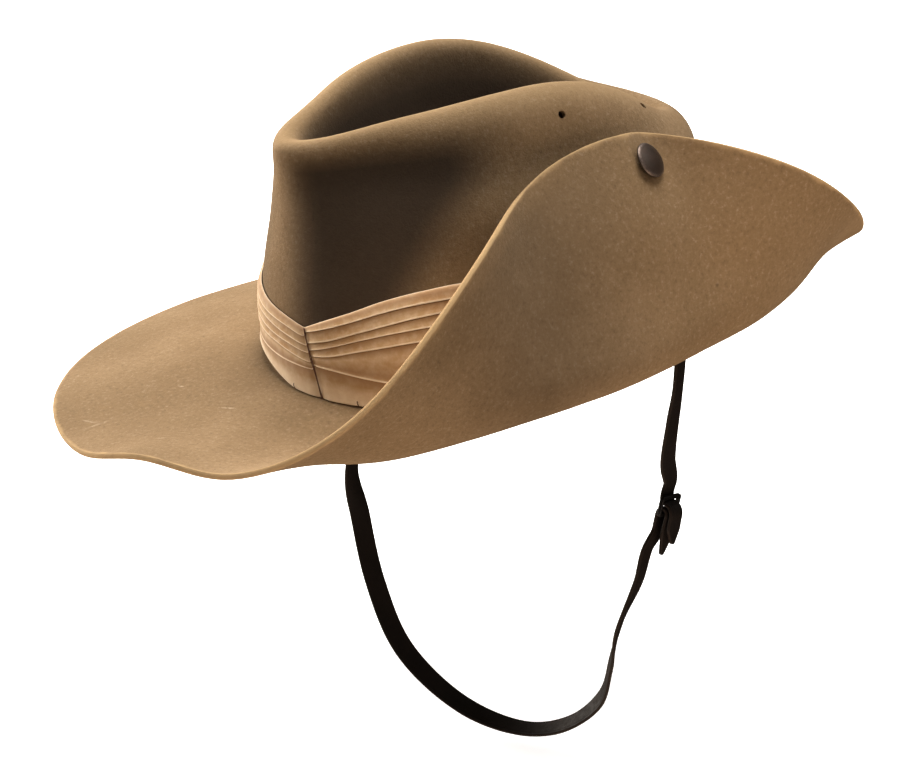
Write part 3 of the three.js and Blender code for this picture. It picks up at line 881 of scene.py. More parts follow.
# Paler felt: its width at the rim in metres, and the level and spread of the crest, which is paler from rub
# and a painted highlight
RIM_WEAR = 0.0023
CREST_LEVEL = 4.6
CREST_SPREAD = 0.55
# Painted shade in the crease: the level where it starts and its rise; and how far the crease's floor line
# lies below the last ring, in millimetres
CREASE_START = 4.95
CREASE_LENGTH = 1.3
SPINE_DROP = 1.5
# The pinched sides get painted shade: where it starts and ends, in degrees from the front and in
# levels, and the right side's share of it
PINCH_START = 1
PINCH_START_LENGTH = 20
PINCH_LEVELS = (1.0, 1.4, 1.8, 2.2, 2.6, 3.0)
PINCH_ENDS = (53, 58, 63, 67, 72, 77)
PINCH_END_LENGTH = 18
PINCH_TOP = 3.95
PINCH_TOP_LENGTH = 0.7
PINCH_RIGHT_SHARE = 0.3
# The turned-up side gets painted shade in its middle, where it curls in: the middle and reach in degrees,
# how much, and the shares of the brim over which it fades in and out
FLAP_PAINTED_SHADE_MIDDLE = 75
FLAP_PAINTED_SHADE_REACH = 34
FLAP_PAINTED_SHADE_SHARE = 0.34
FLAP_PAINTED_SHADE_FADE_IN = 0.25
FLAP_PAINTED_SHADE_FADE_OUT = 0.12
# The felt's wander: scale, start and share of a slow noise and of a quicker one
WAVERS = ((17, Vector((3.1, 7.7, 1.9)), 1.0), (46, Vector((9.4, 2.3, 5.6)), 0.35))
# The punch for the vents: its sides, and its depth in millimetres
PUNCH_SIDES = 24
PUNCH_DEPTH = 10


def crown_rings():
    """Crown levels, close together near the break and evenly spaced above it."""
    high = np.linspace(CROWN_HIGH_START, len(CROWN) - 1, CROWN_STEPS - len(CROWN_LOW_RINGS))
    return (*CROWN_LOW_RINGS, *high)


def painted_shade(angle, level):
    """How much painted shade a place on the crown gets, in the crease or in a pinched side, from 0 to 1."""
    crease = smoothstep((level - CREASE_START) / CREASE_LENGTH)
    turn = from_front(angle)
    behind = np.interp(level, PINCH_LEVELS, PINCH_ENDS)
    ahead = smoothstep((turn - PINCH_START) / PINCH_START_LENGTH)
    aside = ahead * smoothstep((behind - turn) / PINCH_END_LENGTH)
    if angle > 180:
        aside *= PINCH_RIGHT_SHARE
    return max(crease, aside * smoothstep((PINCH_TOP - level) / PINCH_TOP_LENGTH))


def flap_painted_shade(angle, share):
    """How much painted shade a place on the brim gets where the turned-up side curls in, from 0 to 1."""
    across = smoothstep(1 - abs(angle - FLAP_PAINTED_SHADE_MIDDLE) / FLAP_PAINTED_SHADE_REACH)
    fades = smoothstep(share / FLAP_PAINTED_SHADE_FADE_IN), smoothstep((1 - share) / FLAP_PAINTED_SHADE_FADE_OUT)
    return FLAP_PAINTED_SHADE_SHARE * across * fades[0] * fades[1]


def wavered(point, normal, amount):
    """The point moved along its normal by a slow, fixed wander."""
    wander = sum(share * noise.noise(point * scale + start) for scale, start, share in WAVERS)
    return point + normal * amount * wander


class HAT_OT_felt_body(bpy.types.Operator):
    """Block the felt crown, turn its brim up on the left and punch the vents"""

    bl_idname = "hat.felt_body"
    bl_label = "Felt body"

    def execute(self, context):
        sizes = context.scene.hat_sizes
        count = sizes.felt_columns
        angles = [360 / count * k for k in range(count)]
        stations = [(crown_point(turn, 0), break_direction(turn), brim_profile(turn)) for turn in angles]
        plain = [0.0] * count
        rings, rims, crest_rubs_and_highlights, painted_shades = [], [], [], []
        for share in BRIM_RINGS:
            rings.append([on_section(*station, share) for station in stations])
            from_rim = [(1 - share) * width * MM for _, _, (_, _, width) in stations]
            rims.append([max(0, 1 - far / RIM_WEAR) for far in from_rim])
            crest_rubs_and_highlights.append(plain)
            # Painted shade in the middle of the turned-up side
            painted_shades.append([flap_painted_shade(angle, share) for angle in angles])
        for level in crown_rings():
            rings.append([crown_point(angle, level) for angle in angles])
            rims.append(plain)
            # Crest rub with a painted highlight along the ridge
            crest_rubs_and_highlights.append([math.exp(-((level - CREST_LEVEL) / CREST_SPREAD) ** 2)] * count)
            # Painted shade in the crease and the pinched sides
            painted_shades.append([painted_shade(angle, level) for angle in angles])
        rings = self.waver(rings, sizes.felt_waver)
        rings.append(self.spine(rings[-1]))
        rims.append(plain)
        crest_rubs_and_highlights.append(plain)
        # Full painted shade on the crease's floor line
        painted_shades.append([1.0] * count)
        felt = loft("felt_hat", rings)
        column, row = marks_of(felt)
        for name, table in (("rim", rims), ("crest", crest_rubs_and_highlights), ("painted_shade", painted_shades)):
            add_value(felt, name, [table[r][c] for r, c in zip(row, column)])
        make_active(felt)
        bpy.ops.object.mode_set(mode="EDIT")
        outward_normals()
        bpy.ops.object.mode_set(mode="OBJECT")
        finish_modifier(felt, "SOLIDIFY", thickness=sizes.felt_thickness, offset=0, use_even_offset=True)
        smooth(felt, 1)
        for angle, level in VENTS:
            for side in (angle, 360 - angle):
                self.punch(felt, side, level, sizes.vent_radius)
        smooth_by_angle(felt)
        dress(felt, felt_finish(context.scene.hat_colours), "felt", "felt_body")
        return {"FINISHED"}

    def waver(self, rings, amount):
        """The rings with a slow wander, so that no felt face is quite true."""
        moved = []
        count = len(rings[0])
        levels = crown_rings()
        under_band = [len(BRIM_RINGS) + k for k, level in enumerate(levels) if level < BAND_LEVEL]
        for i, ring in enumerate(rings):
            above, below = rings[min(i + 1, len(rings) - 1)], rings[max(i - 1, 0)]
            row = []
            for j, point in enumerate(ring):
                across = ring[(j + 1) % count] - ring[j - 1]
                normal = across.cross(above[j] - below[j]).normalized()
                row.append(wavered(point, normal, 0 if i in under_band else amount))
            moved.append(row)
        return moved

    def spine(self, ring):
        """The crease's floor: one line under the last ring, in which its two sides meet."""
        line = []
        for place, point in enumerate(ring):
            middle = (point + ring[-place]) / 2
            line.append(Vector((0, middle.y, middle.z - SPINE_DROP * MM)))
        return line

    def punch(self, felt, angle, level, radius):
        """Cuts one round vent through the crown."""
        deselect()
        axis = normal_of(crown_point, angle, level, LEVEL_STEP)
        bpy.ops.mesh.primitive_cylinder_add(
            vertices=PUNCH_SIDES, radius=radius, depth=PUNCH_DEPTH * MM,
            location=crown_point(angle, level), rotation=axis.to_track_quat("Z", "Y").to_euler())
        punch = bpy.context.object
        finish_modifier(felt, "BOOLEAN", operation="DIFFERENCE", solver="EXACT", object=punch)
        bpy.data.objects.remove(punch)


# Band

# The band's edges from its foot up
BAND_EDGES = BAND_COLUMNS[1:-1]
# Each pleat from its hidden start behind the pleat above, down to its rolled edge: share of the way down,
# lift in millimetres, how far it stands out as a share of the step, how much its edge is rubbed pale with
# a painted highlight, and how much painted shade it has under a fold
PLEAT_ROWS = (
    (0.0, 1.2, 0.05, 0.0, 1.0),
    (0.0, -0.4, 0.22, 0.0, 1.0),
    (0.3, 0.0, 0.46, 0.0, 0.45),
    (0.7, 0.0, 0.70, 0.0, 0.0),
    (1.0, 0.95, 0.90, 0.0, 0.0),
    (1.0, 0.6, 1.0, 0.9, 0.0),
    (1.0, 0.15, 0.98, 1.0, 0.0),
    (1.0, -0.1, 0.74, 0.2, 0.4),
    (1.0, 0.4, 0.42, 0.0, 1.0),
)
# The same for the top pleat, which starts at the band's top edge, for the puckered one above the lowest
# fold and for the plain foot
TOP_ROWS = (
    (0.0, -0.1, -0.8, 0.2, 0.5),
    (0.0, 0.08, -0.62, 0.65, 0.0),
    (0.0, -0.3, -0.1, 0.1, 0.5),
    (0.0, -0.7, 0.3, 0.0, 0.8),
    (0.3, 0.0, 0.5, 0.0, 0.8),
    (0.7, 0.0, 0.72, 0.0, 0.25),
    *PLEAT_ROWS[4:],
)
PUCKER_ROWS = (
    *PLEAT_ROWS[:2],
    (0.25, 0.0, 0.62, 0.15, 0.0),
    (0.5, 0.0, 0.64, 0.0, 0.3),
    (0.8, 0.0, 0.64, 0.0, 0.85),
    (1.0, 0.95, 0.84, 0.0, 0.6),
    *PLEAT_ROWS[5:],
)
FOOT_ROWS = (
    *PLEAT_ROWS[:2],
    (0.3, 0.0, 0.44, 0.0, 0.5),
    (0.65, 0.0, 0.68, 0.4, 0.0),
    (1.0, 0.95, 0.90, 0.55, 0.0),
    (1.0, 0.6, 1.0, 0.6, 0.0),
    (1.0, 0.15, 0.98, 0.6, 0.0),
    (1.0, -0.1, 0.74, 0.1, 0.4),
    (1.0, 0.4, 0.42, 0.0, 1.0),
)
PANELS = (FOOT_ROWS, PUCKER_ROWS, PLEAT_ROWS, PLEAT_ROWS, PLEAT_ROWS, TOP_ROWS)
# Height in millimetres from which a panel's lifts are full
FULL_PANEL = 5
# The band closes on the felt near its top edge: over how many millimetres, and by what share of its gap
TOP_CLOSE = 2.5
TOP_CLOSE_SHARE = 0.8
# At its seam the cloth is pulled in: by what share, and over how many degrees
SEAM_PULL = 0.4
SEAM_PULL_SPREAD = 1.8
# Turns of the stations next to the seam, and the range of those between
SEAM_COLUMNS = (0, 0.5, 1, 1.6, 2.3, 3.2, 4.4)
BAND_MIDDLE = (6, 354.1)
# Slow puffs of the cloth: scale round and up the band, start, and height in millimetres; and the least
# thickness of the cloth
PUFF_TURN = 14
PUFF_RISE = 5
PUFF_START = 2.7
PUFF = 0.25
LEAST_CLOTH = 0.25
# Heights of the rings behind the band, as shares, and the ring that gives its map the lengths round it
BACK_SHARES = (0.0, 0.25, 0.5, 0.75, 0.97)
MAP_RING = 6


def band_seat(height, top, sizes):
    """Distance from the middle of the felt to the band's back, which closes on the felt at its top edge."""
    closing = smoothstep(1 - (top - height) / TOP_CLOSE)
    return sizes.felt_thickness / 2 + sizes.band_gap * (1 - TOP_CLOSE_SHARE * closing)


def band_face(turn, height, proud, sizes):
    """A point on the band's outer face, by its turn from the seam and its height in millimetres."""
    top = row_between(BAND, turn)["top"]
    share = (height - BAND_FOOT) / (top - BAND_FOOT)
    from_seam = min(turn, 360 - turn)
    lean = SEAM_LEAN * (0.5 - share) * math.exp(-(from_seam / SEAM_LEAN_SPREAD) ** 2)
    pull = SEAM_PULL * math.exp(-(from_seam / SEAM_PULL_SPREAD) ** 2)
    puff = noise.noise(Vector((turn / PUFF_TURN, share * PUFF_RISE, PUFF_START))) * PUFF * MM
    outer = (sizes.band_cloth + sizes.pleat_step * proud) * (1 - pull)
    cloth = max(outer + puff * (1 - pull), LEAST_CLOTH * MM)
    return wall_point(turn + BAND_SEAM + lean, height * MM, band_seat(height, top, sizes) + cloth)


class HAT_OT_band(bpy.types.Operator):
    """Wind the pleated cloth band round the crown and gather it at its seam"""

    bl_idname = "hat.band"
    bl_label = "Pleated band"

    def execute(self, context):
        sizes = context.scene.hat_sizes
        middle = np.arange(*BAND_MIDDLE, sizes.band_step)
        turns = [
            *SEAM_COLUMNS,
            *(float(turn) for turn in middle),
            *(360 - turn for turn in reversed(SEAM_COLUMNS[1:])),
        ]
        stations = [(turn, row_between(BAND, turn)) for turn in turns]
        rings, crest, shade = [], [], []
        for panel in reversed(range(len(PANELS))):
            for row in PANELS[panel]:
                ring = [self.on_pleat(turn, section, panel, row, sizes) for turn, section in stations]
                rings.append(ring)
                crest.append(row[3])
                shade.append(row[4])
        for share in BACK_SHARES:
            rings.append([self.on_back(turn, section, share, sizes) for turn, section in stations])
            crest.append(0.0)
            shade.append(1.0)
        band = loft("pleated_band", rings)
        _, row = marks_of(band)
        # Rub and a painted highlight on each rolled fold edge
        add_value(band, "fold", [crest[r] for r in row])
        # Painted shade under each fold and on the band's back
        add_value(band, "fold_painted_shade", [shade[r] for r in row])
        around = running_lengths([*rings[MAP_RING], rings[MAP_RING][0]])
        down = running_lengths([ring[0] for ring in rings])
        close(band, bpy.ops.mesh.bridge_edge_loops)
        lay_map(band, around, down, down[-1] + (rings[-1][0] - rings[0][0]).length)
        smooth(band, 1)
        dress(band, band_finish(context.scene.hat_colours), "band_cloth", "puggaree")
        return {"FINISHED"}

    def on_pleat(self, turn, section, panel, row, sizes):
        """A point on one row of a panel, between the edge below it and the one above."""
        share, lift, proud, _, _ = row
        low, high = section[BAND_EDGES[panel]], section[BAND_EDGES[panel + 1]]
        height = high + (low - high) * share + lift * min(1, (high - low) / FULL_PANEL)
        if panel == 1:
            proud *= 1 - (1 - section["low_step"]) * share
        return band_face(turn, max(height, section["foot"]), proud, sizes)

    def on_back(self, turn, section, share, sizes):
        height = section["foot"] + (section["top"] - section["foot"]) * share
        return wall_point(turn + BAND_SEAM, height * MM, band_seat(height, section["top"], sizes))


# Thread

THREAD_SIDES = 8
THREAD_END = 0.55


def tube(name, points, radius):
    """A round thread along points, closed at both ends."""
    rings = []
    for i, point in enumerate(points):
        way = heading(points, i)
        side = way.orthogonal().normalized() if i == 0 else (side - way * side.dot(way)).normalized()
        swell = radius * (THREAD_END if i in (0, len(points) - 1) else 1)
        rings.append(circle(point, side, way.cross(side), swell, THREAD_SIDES))
    piece = loft(name, rings)
    around = [2 * math.pi * radius * k / THREAD_SIDES for k in range(THREAD_SIDES + 1)]
    close(piece, bpy.ops.mesh.edge_face_add)
    lay_map(piece, around, running_lengths(points))
    drop_marks(piece)
    return piece


def from_axis(point):
    """Level unit direction from the hat's upright axis to a point."""
    return Vector((point.x, point.y, 0)).normalized()


# The seam's strands: their turns from the seam, points, sway in degrees with its rate and shift, how far in
# millimetres they start above and end below the band, how proud they lie and their lift in radii
SEAM_STRANDS = (0.0, 0.35)
SEAM_POINTS = 40
SEAM_SWAY = 0.12
SEAM_SWAY_RATE = 11
SEAM_SWAY_SHIFT = 6
SEAM_ABOVE = 0.2
SEAM_BELOW = 0.4
SEAM_PROUD = 0.95
SEAM_LIFT = 1.6
# Tacks along the band's foot: their turns from the seam, height in millimetres, points, slant in degrees,
# arch and sink in millimetres, and their radius as a share of the thread's
TACK_TURNS = (13, 48, 76, 110, 143, 179, 213, 245, 279, 305, 349.5)
TACK_HEIGHT = 2.4
TACK_POINTS = 9
TACK_SLANT = 0.3
TACK_ARCH = 0.5
TACK_SINK = 0.1
TACK_RADIUS = 0.8


class HAT_OT_thread(bpy.types.Operator):
    """Sew the band's seam and tack its foot to the felt"""

    bl_idname = "hat.thread"
    bl_label = "Thread"

    def execute(self, context):
        sizes = context.scene.hat_sizes
        strands = [self.strand(shift, sizes) for shift in SEAM_STRANDS]
        strands += [self.tack(turn, sizes) for turn in TACK_TURNS]
        thread = join(strands, "band_thread")
        smooth(thread, 0)
        dress(thread, thread_finish(context.scene.hat_colours), "band_cloth")
        return {"FINISHED"}

    def strand(self, shift, sizes):
        radius = sizes.thread_radius
        top = BAND[0]["top"]
        points = []
        for k in range(SEAM_POINTS):
            share = k / (SEAM_POINTS - 1)
            sway = SEAM_SWAY * math.sin(SEAM_SWAY_RATE * share + SEAM_SWAY_SHIFT * shift)
            height = top + SEAM_ABOVE + (BAND_FOOT - SEAM_BELOW - top) * share
            face = band_face(shift + SEAM_SWAY + sway, height, SEAM_PROUD, sizes)
            points.append(face + from_axis(face) * radius * SEAM_LIFT)
        return tube("seam_strand", points, radius)

    def tack(self, turn, sizes):
        foot = row_between(BAND, turn)["foot"]
        points = []
        for k in range(TACK_POINTS):
            share = k / (TACK_POINTS - 1)
            face = band_face(turn + TACK_SLANT * share, foot + TACK_HEIGHT * (1 - share), 1.0, sizes)
            arch = math.sin(math.pi * share) * TACK_ARCH - TACK_SINK
            points.append(face + from_axis(face) * arch * MM)
        return tube("tack", points, sizes.thread_radius * TACK_RADIUS)


# Stud

# From the back disc over the post: the level that a turn is measured from, its radius and height in
# millimetres and its rub; then the cap, from its level, with its radius as a share of the stud's
STUD_POST = (
    ("back", 0.02, -3.3, 0),
    ("back", 3.6, -3.3, 0.2),
    ("back", 4.4, -3.0, 0.6),
    ("back", 4.5, -2.5, 0.6),
    ("back", 4.1, -2.1, 0),
    ("back", 2.0, -2.1, 0),
    ("crown", 2.0, 1.2, 0),
    ("crown", 3.0, 1.2, 0),
    ("brim", 3.0, -1.2, 0),
    ("brim", 2.0, -1.2, 0),
    ("cap", 2.0, 0, 0),
)
STUD_CAP = (
    (0.80, 0, 0),
    (0.94, -0.3, 0.2),
    (1.0, 0.1, 0.1),
    (0.99, 0.6, 0.3),
    (0.93, 1.0, 0.35),
    (0.84, 1.35, 0.1),
    (0.68, 1.75, 0.05),
    (0.48, 2.15, 0),
    (0.25, 2.4, 0),
    (0.01, 2.5, 0),
)
CAP_SEAT = 1.9
STUD_SIDES = 40
# The search for the crown behind the stud: turns either side, levels with their step, and how near to the
# stud's axis a place lies, in millimetres
REACH_TURNS = 12
REACH_LEVELS = (2, 3.2, 0.05)
REACH_RADIUS = 2


class HAT_OT_stud(bpy.types.Operator):
    """Set the press stud through the turned-up brim and the crown"""

    bl_idname = "hat.stud"
    bl_label = "Press stud"

    def execute(self, context):
        sizes = context.scene.hat_sizes
        at = brim_point(STUD_ANGLE, STUD_SHARE)
        square = normal_of(brim_point, STUD_ANGLE, STUD_SHARE, STUD_SEAT_SHARE, STUD_SEAT_ANGLE)
        axis = (square + STUD_PULL).normalized()
        side = axis.orthogonal().normalized()
        other = axis.cross(side)
        reach = self.reach(at, axis)
        felt = sizes.felt_thickness / 2
        levels = {"back": -reach - felt, "crown": -reach + felt, "brim": -felt, "cap": felt + CAP_SEAT * MM}
        profile = []
        for level, radius, height, rub in STUD_POST:
            profile.append((radius * MM, levels[level] + height * MM, rub))
        for share, height, rub in STUD_CAP:
            profile.append((share * sizes.stud_radius, levels["cap"] + height * MM, rub))
        rings = []
        for radius, height, _ in profile:
            rings.append(circle(at + axis * height, side, other, radius, STUD_SIDES))
        stud = loft("bronzed_stud", rings)
        _, row = marks_of(stud)
        add_value(stud, "rub", [profile[k][2] for k in row])
        close(stud, bpy.ops.mesh.edge_face_add)
        smooth(stud, 1)
        dress(stud, stud_finish(context.scene.hat_colours), "stud_metal", "press_stud")
        return {"FINISHED"}

    def reach(self, at, axis):
        """Distance from the brim back along the stud's axis to the crown."""
        best = 1.0
        for turn in range(-REACH_TURNS, REACH_TURNS + 1):
            for level in np.arange(*REACH_LEVELS):
                gap = at - crown_point(STUD_ANGLE + turn, float(level))
                along = gap.dot(axis)
                if (gap - axis * along).length < REACH_RADIUS * MM:
                    best = min(best, along)
        return best


# Chin strap

# Half section of the leather from one edge to the other: place across, height and rub, for a width of 2
STRAP_SECTION = (
    (-1.0, 0.0, 1.0), (-0.985, 0.55, 0.9), (-0.93, 0.95, 0.5), (-0.84, 1.0, 0.25), (-0.76, 0.98, 0.1),
    (-0.72, 0.80, 0.0), (-0.68, 0.98, 0.1), (-0.5, 1.0, 0.05), (0.0, 1.04, 0.0), (0.5, 1.0, 0.05),
    (0.68, 0.98, 0.1), (0.72, 0.80, 0.0), (0.76, 0.98, 0.1), (0.84, 1.0, 0.25), (0.93, 0.95, 0.5),
    (0.985, 0.55, 0.9), (1.0, 0.0, 1.0),
)
# The leather's ends are cut to a blunt point over this many steps, from the width left at the tip
TAIL_STEPS = 10
TAIL_END = 0.7
TAIL_POWER = 0.75
STEPS_PER_STATION = 7


def buckle_axes():
    face = (BUCKLE_FACE_HINT - BUCKLE_UP * BUCKLE_FACE_HINT.dot(BUCKLE_UP)).normalized()
    return face, BUCKLE_UP.cross(face)


def wall_stations(angle, sizes):
    inward = -(sizes.felt_thickness / 2 + sizes.band_gap + sizes.strap_thickness / 2)
    across = break_direction(angle)
    return [(wall_point(angle, height * MM, inward), across.copy()) for height in WALL_HEIGHTS]


def route_stations(route):
    points = [Vector(row[:3]) * MM for row in route]
    stations = []
    for i, row in enumerate(route):
        way = heading(points, i)
        facing = (STRAP_FACING - way * STRAP_FACING.dot(way)).normalized()
        turn = math.radians(row[3])
        stations.append((points[i], way.cross(facing) * math.cos(turn) + facing * math.sin(turn)))
    return stations


def buckle_stations(offsets):
    face, across = buckle_axes()
    return [((BUCKLE_AT + face * out + BUCKLE_UP * up) * MM, across.copy()) for out, up in offsets]


def centripetal(points, samples):
    """Points on a smooth curve through the given points, with the place of each among them."""
    knots = [0.0]
    for a, b in zip(points, points[1:]):
        knots.append(knots[-1] + math.sqrt((b - a).length))
    ends = [points[0] * 2 - points[1], *points, points[-1] * 2 - points[-2]]
    times = [2 * knots[0] - knots[1], *knots, 2 * knots[-1] - knots[-2]]
    found = []
    for k in range(len(points) - 1):
        p, t = ends[k:k + 4], times[k:k + 4]
        for step in range(samples):
            now = t[1] + (t[2] - t[1]) * step / samples
            a = [p[i].lerp(p[i + 1], (now - t[i]) / (t[i + 1] - t[i])) for i in range(3)]
            b = [a[i].lerp(a[i + 1], (now - t[i]) / (t[i + 2] - t[i])) for i in range(2)]
            found.append((b[0].lerp(b[1], (now - t[1]) / (t[2] - t[1])), k + step / samples))
    found.append((points[-1], len(points) - 1.0))
    return found


def strap(name, stations, sizes, context, node):
    """One length of leather along its stations, each a point and the direction across the leather there."""
    for before, after in zip(stations, stations[1:]):
        if after[1].dot(before[1]) < 0:
            after[1].negate()
    sampled = centripetal([point for point, _ in stations], STEPS_PER_STATION)
    points = [point for point, _ in sampled]
    lower = [(x, -y, rub) for x, y, rub in reversed(STRAP_SECTION[1:-1])]
    section = [*STRAP_SECTION, *lower]
    rings = []
    for i, (point, place) in enumerate(sampled):
        way = heading(points, i)
        k = min(int(place), len(stations) - 2)
        across = stations[k][1].lerp(stations[k + 1][1], smoothstep(place - k))
        across = (across - way * across.dot(way)).normalized()
        normal = way.cross(across)
        left = len(points) - 1 - i
        share = min(1, (left + TAIL_END) / TAIL_STEPS) ** TAIL_POWER
        half = sizes.strap_width / 2 * share
        thick = sizes.strap_thickness / 2
        rings.append([point + across * x * half + normal * y * thick for x, y, _ in section])
    piece = loft(name, rings)
    column, _ = marks_of(piece)
    add_value(piece, "rub", [section[c][2] for c in column])
    close(piece, bpy.ops.mesh.edge_face_add)
    smooth(piece, 1)
    dress(piece, leather_finish(context.scene.hat_colours), "strap_leather", node)


class HAT_OT_chin_strap(bpy.types.Operator):
    """Hang both lengths of the leather chin strap and thread them through the buckle"""

    bl_idname = "hat.chin_strap"
    bl_label = "Chin strap"

    def execute(self, context):
        sizes = context.scene.hat_sizes
        fold = []
        for angle in FOLD_ANGLES:
            turn = math.radians(angle)
            fold.append((FOLD_RADIUS * math.cos(turn), FOLD_RADIUS * math.sin(turn)))
        long = wall_stations(LONG_WALL_ANGLE, sizes) + route_stations(LONG_ROUTE)
        long += buckle_stations((*LONG_APPROACH, *fold, *LONG_TAIL))
        strap("strap_long", long, sizes, context, "chin_strap_long")
        short = wall_stations(SHORT_WALL_ANGLE, sizes) + route_stations(SHORT_ROUTE)
        short += buckle_stations(SHORT_THREADING)
        strap("strap_short", short, sizes, context, "chin_strap_short")
        return {"FINISHED"}


# Buckle

# Round of the loop's outer corners, its depth and the bevel of its edges in millimetres, with their steps,
# and the share of a bar that is inset. The inner corners are square, so the points of their round are
# welded
CORNER_ROUND = 1.6
CORNER_STEPS = 5
CORNER_WELD = 0.3
LOOP_DEPTH = 2
LOOP_BEVEL = 0.5
LOOP_BEVEL_STEPS = 3
BAR_INSET = 0.95


class HAT_OT_buckle(bpy.types.Operator):
    """Bend the strap's wire loop and lay it between the two lengths"""

    bl_idname = "hat.buckle"
    bl_label = "Strap buckle"

    def execute(self, context):
        sizes = context.scene.hat_sizes
        bar = sizes.buckle_bar
        height = 2 * bar + sizes.buckle_slot
        deselect()
        bpy.ops.mesh.primitive_plane_add(size=1)
        buckle = bpy.context.object
        buckle.name = buckle.data.name = "buckle_loop"
        bpy.ops.object.mode_set(mode="EDIT")
        bpy.ops.transform.resize(value=(sizes.buckle_width, height, 1))
        bpy.ops.mesh.bevel(offset=CORNER_ROUND * MM, segments=CORNER_STEPS, affect="VERTICES")
        bpy.ops.mesh.select_all(action="SELECT")
        bpy.ops.mesh.inset(thickness=bar * BAR_INSET, use_even_offset=True)
        bpy.ops.mesh.delete(type="FACE")
        bpy.ops.mesh.select_all(action="SELECT")
        bpy.ops.mesh.remove_doubles(threshold=CORNER_WELD * MM)
        bpy.ops.mesh.extrude_region_move(TRANSFORM_OT_translate={"value": (0, 0, LOOP_DEPTH * MM)})
        outward_normals()
        bpy.ops.object.mode_set(mode="OBJECT")
        finish_modifier(
            buckle, "BEVEL", width=LOOP_BEVEL * MM, segments=LOOP_BEVEL_STEPS, limit_method="ANGLE")
        face, across = buckle_axes()
        turn = Matrix((across, BUCKLE_UP, face)).transposed().to_4x4()
        shift = Matrix.Translation((0, height / 2 - bar / 2, -LOOP_DEPTH / 2 * MM))
        buckle.data.transform(Matrix.Translation(BUCKLE_AT * MM) @ turn @ shift)
        smooth_by_angle(buckle)
        dress(buckle, buckle_finish(context.scene.hat_colours), "buckle_metal", "strap_buckle")
        return {"FINISHED"}


# Stage

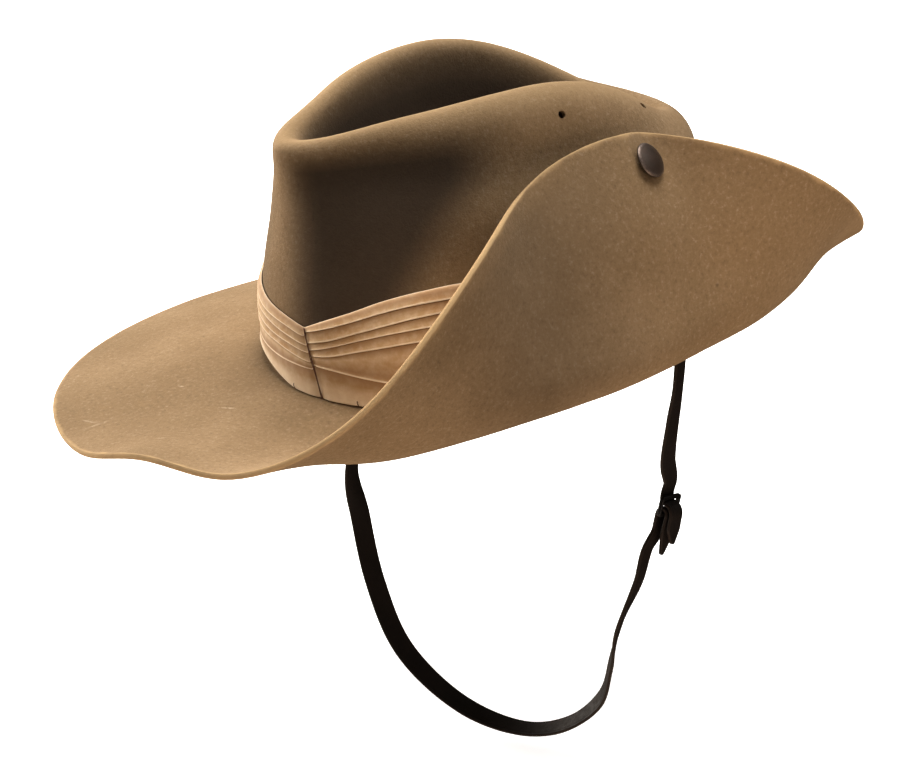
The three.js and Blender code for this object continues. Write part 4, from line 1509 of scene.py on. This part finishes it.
class HAT_OT_stage(bpy.types.Operator):
    """Lay the pale floor, hang the soft lights and set the camera"""

    bl_idname = "hat.stage"
    bl_label = "Studio stage"

    def execute(self, context):
        scene = context.scene
        low, _ = cad_box
        floor_height = low.z - scene.hat_sizes.floor_drop
        deselect()
        bpy.ops.mesh.primitive_plane_add(size=FLOOR_SIZE, location=(0, 0, floor_height))
        floor = context.object
        floor.name = "studio_floor"
        floor.data.materials.append(floor_finish(scene.hat_colours))
        floor.visible_diffuse = False
        floor.visible_shadow = False
        floor.visible_glossy = False
        for name, towards, power, spread, tint in SOFT_LIGHTS:
            self.soft_light(name, Vector(towards), power, math.radians(spread), tint)
        for name, target, towards, power, beam in HOODED_LAMPS:
            self.hooded_lamp(name, Vector(target) * MM, Vector(towards), power, math.radians(beam))
        self.air(scene)
        self.camera(scene)
        scene.view_settings.view_transform = "Standard"
        scene.view_settings.gamma = VIEW_GAMMA
        scene.view_settings.exposure = VIEW_EXPOSURE
        return {"FINISHED"}

    def soft_light(self, name, towards, power, spread, tint):
        turn = towards.to_track_quat("Z", "Y").to_euler()
        bpy.ops.object.light_add(type="SUN", location=towards.normalized() * SUN_DISTANCE, rotation=turn)
        light = bpy.context.object
        light.name = light.data.name = name
        light.data.energy = power
        light.data.angle = spread
        light.data.color = tint

    def hooded_lamp(self, name, target, towards, power, beam):
        way = towards.normalized()
        turn = way.to_track_quat("Z", "Y").to_euler()
        bpy.ops.object.light_add(type="SPOT", location=target + way * LAMP_DISTANCE, rotation=turn)
        lamp = bpy.context.object.data
        lamp.name = bpy.context.object.name = name
        lamp.energy = power
        lamp.color = LAMP_TINT
        lamp.shadow_soft_size = LAMP_SIZE
        lamp.spot_size = beam
        lamp.spot_blend = 1.0

    def air(self, scene):
        """Dim light from overhead that fades to the horizon, on a background that looks plain white."""
        world = bpy.data.worlds.new("studio air")
        scene.world = world
        world.use_nodes = True
        tree = world.node_tree
        overhead = tree.nodes["Background"]
        height = tree.nodes.new("ShaderNodeSeparateXYZ")
        tree.links.new(tree.nodes.new("ShaderNodeTexCoord").outputs["Generated"], height.inputs["Vector"])
        fade = tree.nodes.new("ShaderNodeMapRange")
        fade.interpolation_type = "SMOOTHSTEP"
        for name, value in AIR_FADE:
            fade.inputs[name].default_value = value
        tree.links.new(height.outputs["Z"], fade.inputs["Value"])
        tree.links.new(fade.outputs["Result"], overhead.inputs["Strength"])
        overhead.inputs["Color"].default_value = (1, 1, 1, 1)
        plain = tree.nodes.new("ShaderNodeBackground")
        plain.inputs["Color"].default_value = (1, 1, 1, 1)
        seen = tree.nodes.new("ShaderNodeMixShader")
        tree.links.new(tree.nodes.new("ShaderNodeLightPath").outputs["Is Camera Ray"], seen.inputs["Fac"])
        tree.links.new(overhead.outputs["Background"], seen.inputs[1])
        tree.links.new(plain.outputs["Background"], seen.inputs[2])
        tree.links.new(seen.outputs["Shader"], tree.nodes["World Output"].inputs["Surface"])

    def camera(self, scene):
        turn, lift, roll = (math.radians(a) for a in (CAMERA_AZIMUTH, CAMERA_ELEVATION, CAMERA_ROLL))
        back = Vector((math.sin(turn) * math.cos(lift), -math.cos(turn) * math.cos(lift), math.sin(lift)))
        right = Vector((math.cos(turn), math.sin(turn), 0))
        up = back.cross(right)
        leaned = right * math.cos(roll) + up * math.sin(roll)
        axes = Matrix((leaned, back.cross(leaned), back)).transposed()
        bpy.ops.object.camera_add(location=CAMERA_TARGET + back * CAMERA_DISTANCE, rotation=axes.to_euler())
        camera = bpy.context.object
        camera.name = camera.data.name = "studio_camera"
        camera.data.lens = CAMERA_LENS
        scene.camera = camera


STEPS = (
    HAT_OT_stage, HAT_OT_felt_body, HAT_OT_band, HAT_OT_thread,
    HAT_OT_stud, HAT_OT_chin_strap, HAT_OT_buckle,
)


class HAT_PT_sidebar(bpy.types.Panel):
    """Steps, sizes and colours of the hat"""

    bl_idname = "HAT_PT_sidebar"
    bl_label = "Slouch hat"
    bl_space_type = "VIEW_3D"
    bl_region_type = "UI"
    bl_category = "Hat"

    def draw(self, context):
        layout = self.layout
        for step in STEPS:
            layout.operator(step.bl_idname)
        for group in (context.scene.hat_sizes, context.scene.hat_colours):
            box = layout.box()
            for name in group.__annotations__:
                box.prop(group, name)


CLASSES = (HatSizes, HatColours, *STEPS, HAT_PT_sidebar)


def register():
    for cls in CLASSES:
        bpy.utils.register_class(cls)
    bpy.types.Scene.hat_sizes = PointerProperty(type=HatSizes)
    bpy.types.Scene.hat_colours = PointerProperty(type=HatColours)


def unregister():
    del bpy.types.Scene.hat_colours
    del bpy.types.Scene.hat_sizes
    for cls in reversed(CLASSES):
        bpy.utils.unregister_class(cls)


def main():
    register()
    bpy.ops.hat.stage()
    bpy.ops.hat.felt_body()
    bpy.ops.hat.band()
    bpy.ops.hat.thread()
    bpy.ops.hat.stud()
    bpy.ops.hat.chin_strap()
    bpy.ops.hat.buckle()
    deselect()


if __name__ == "__main__":
    main()
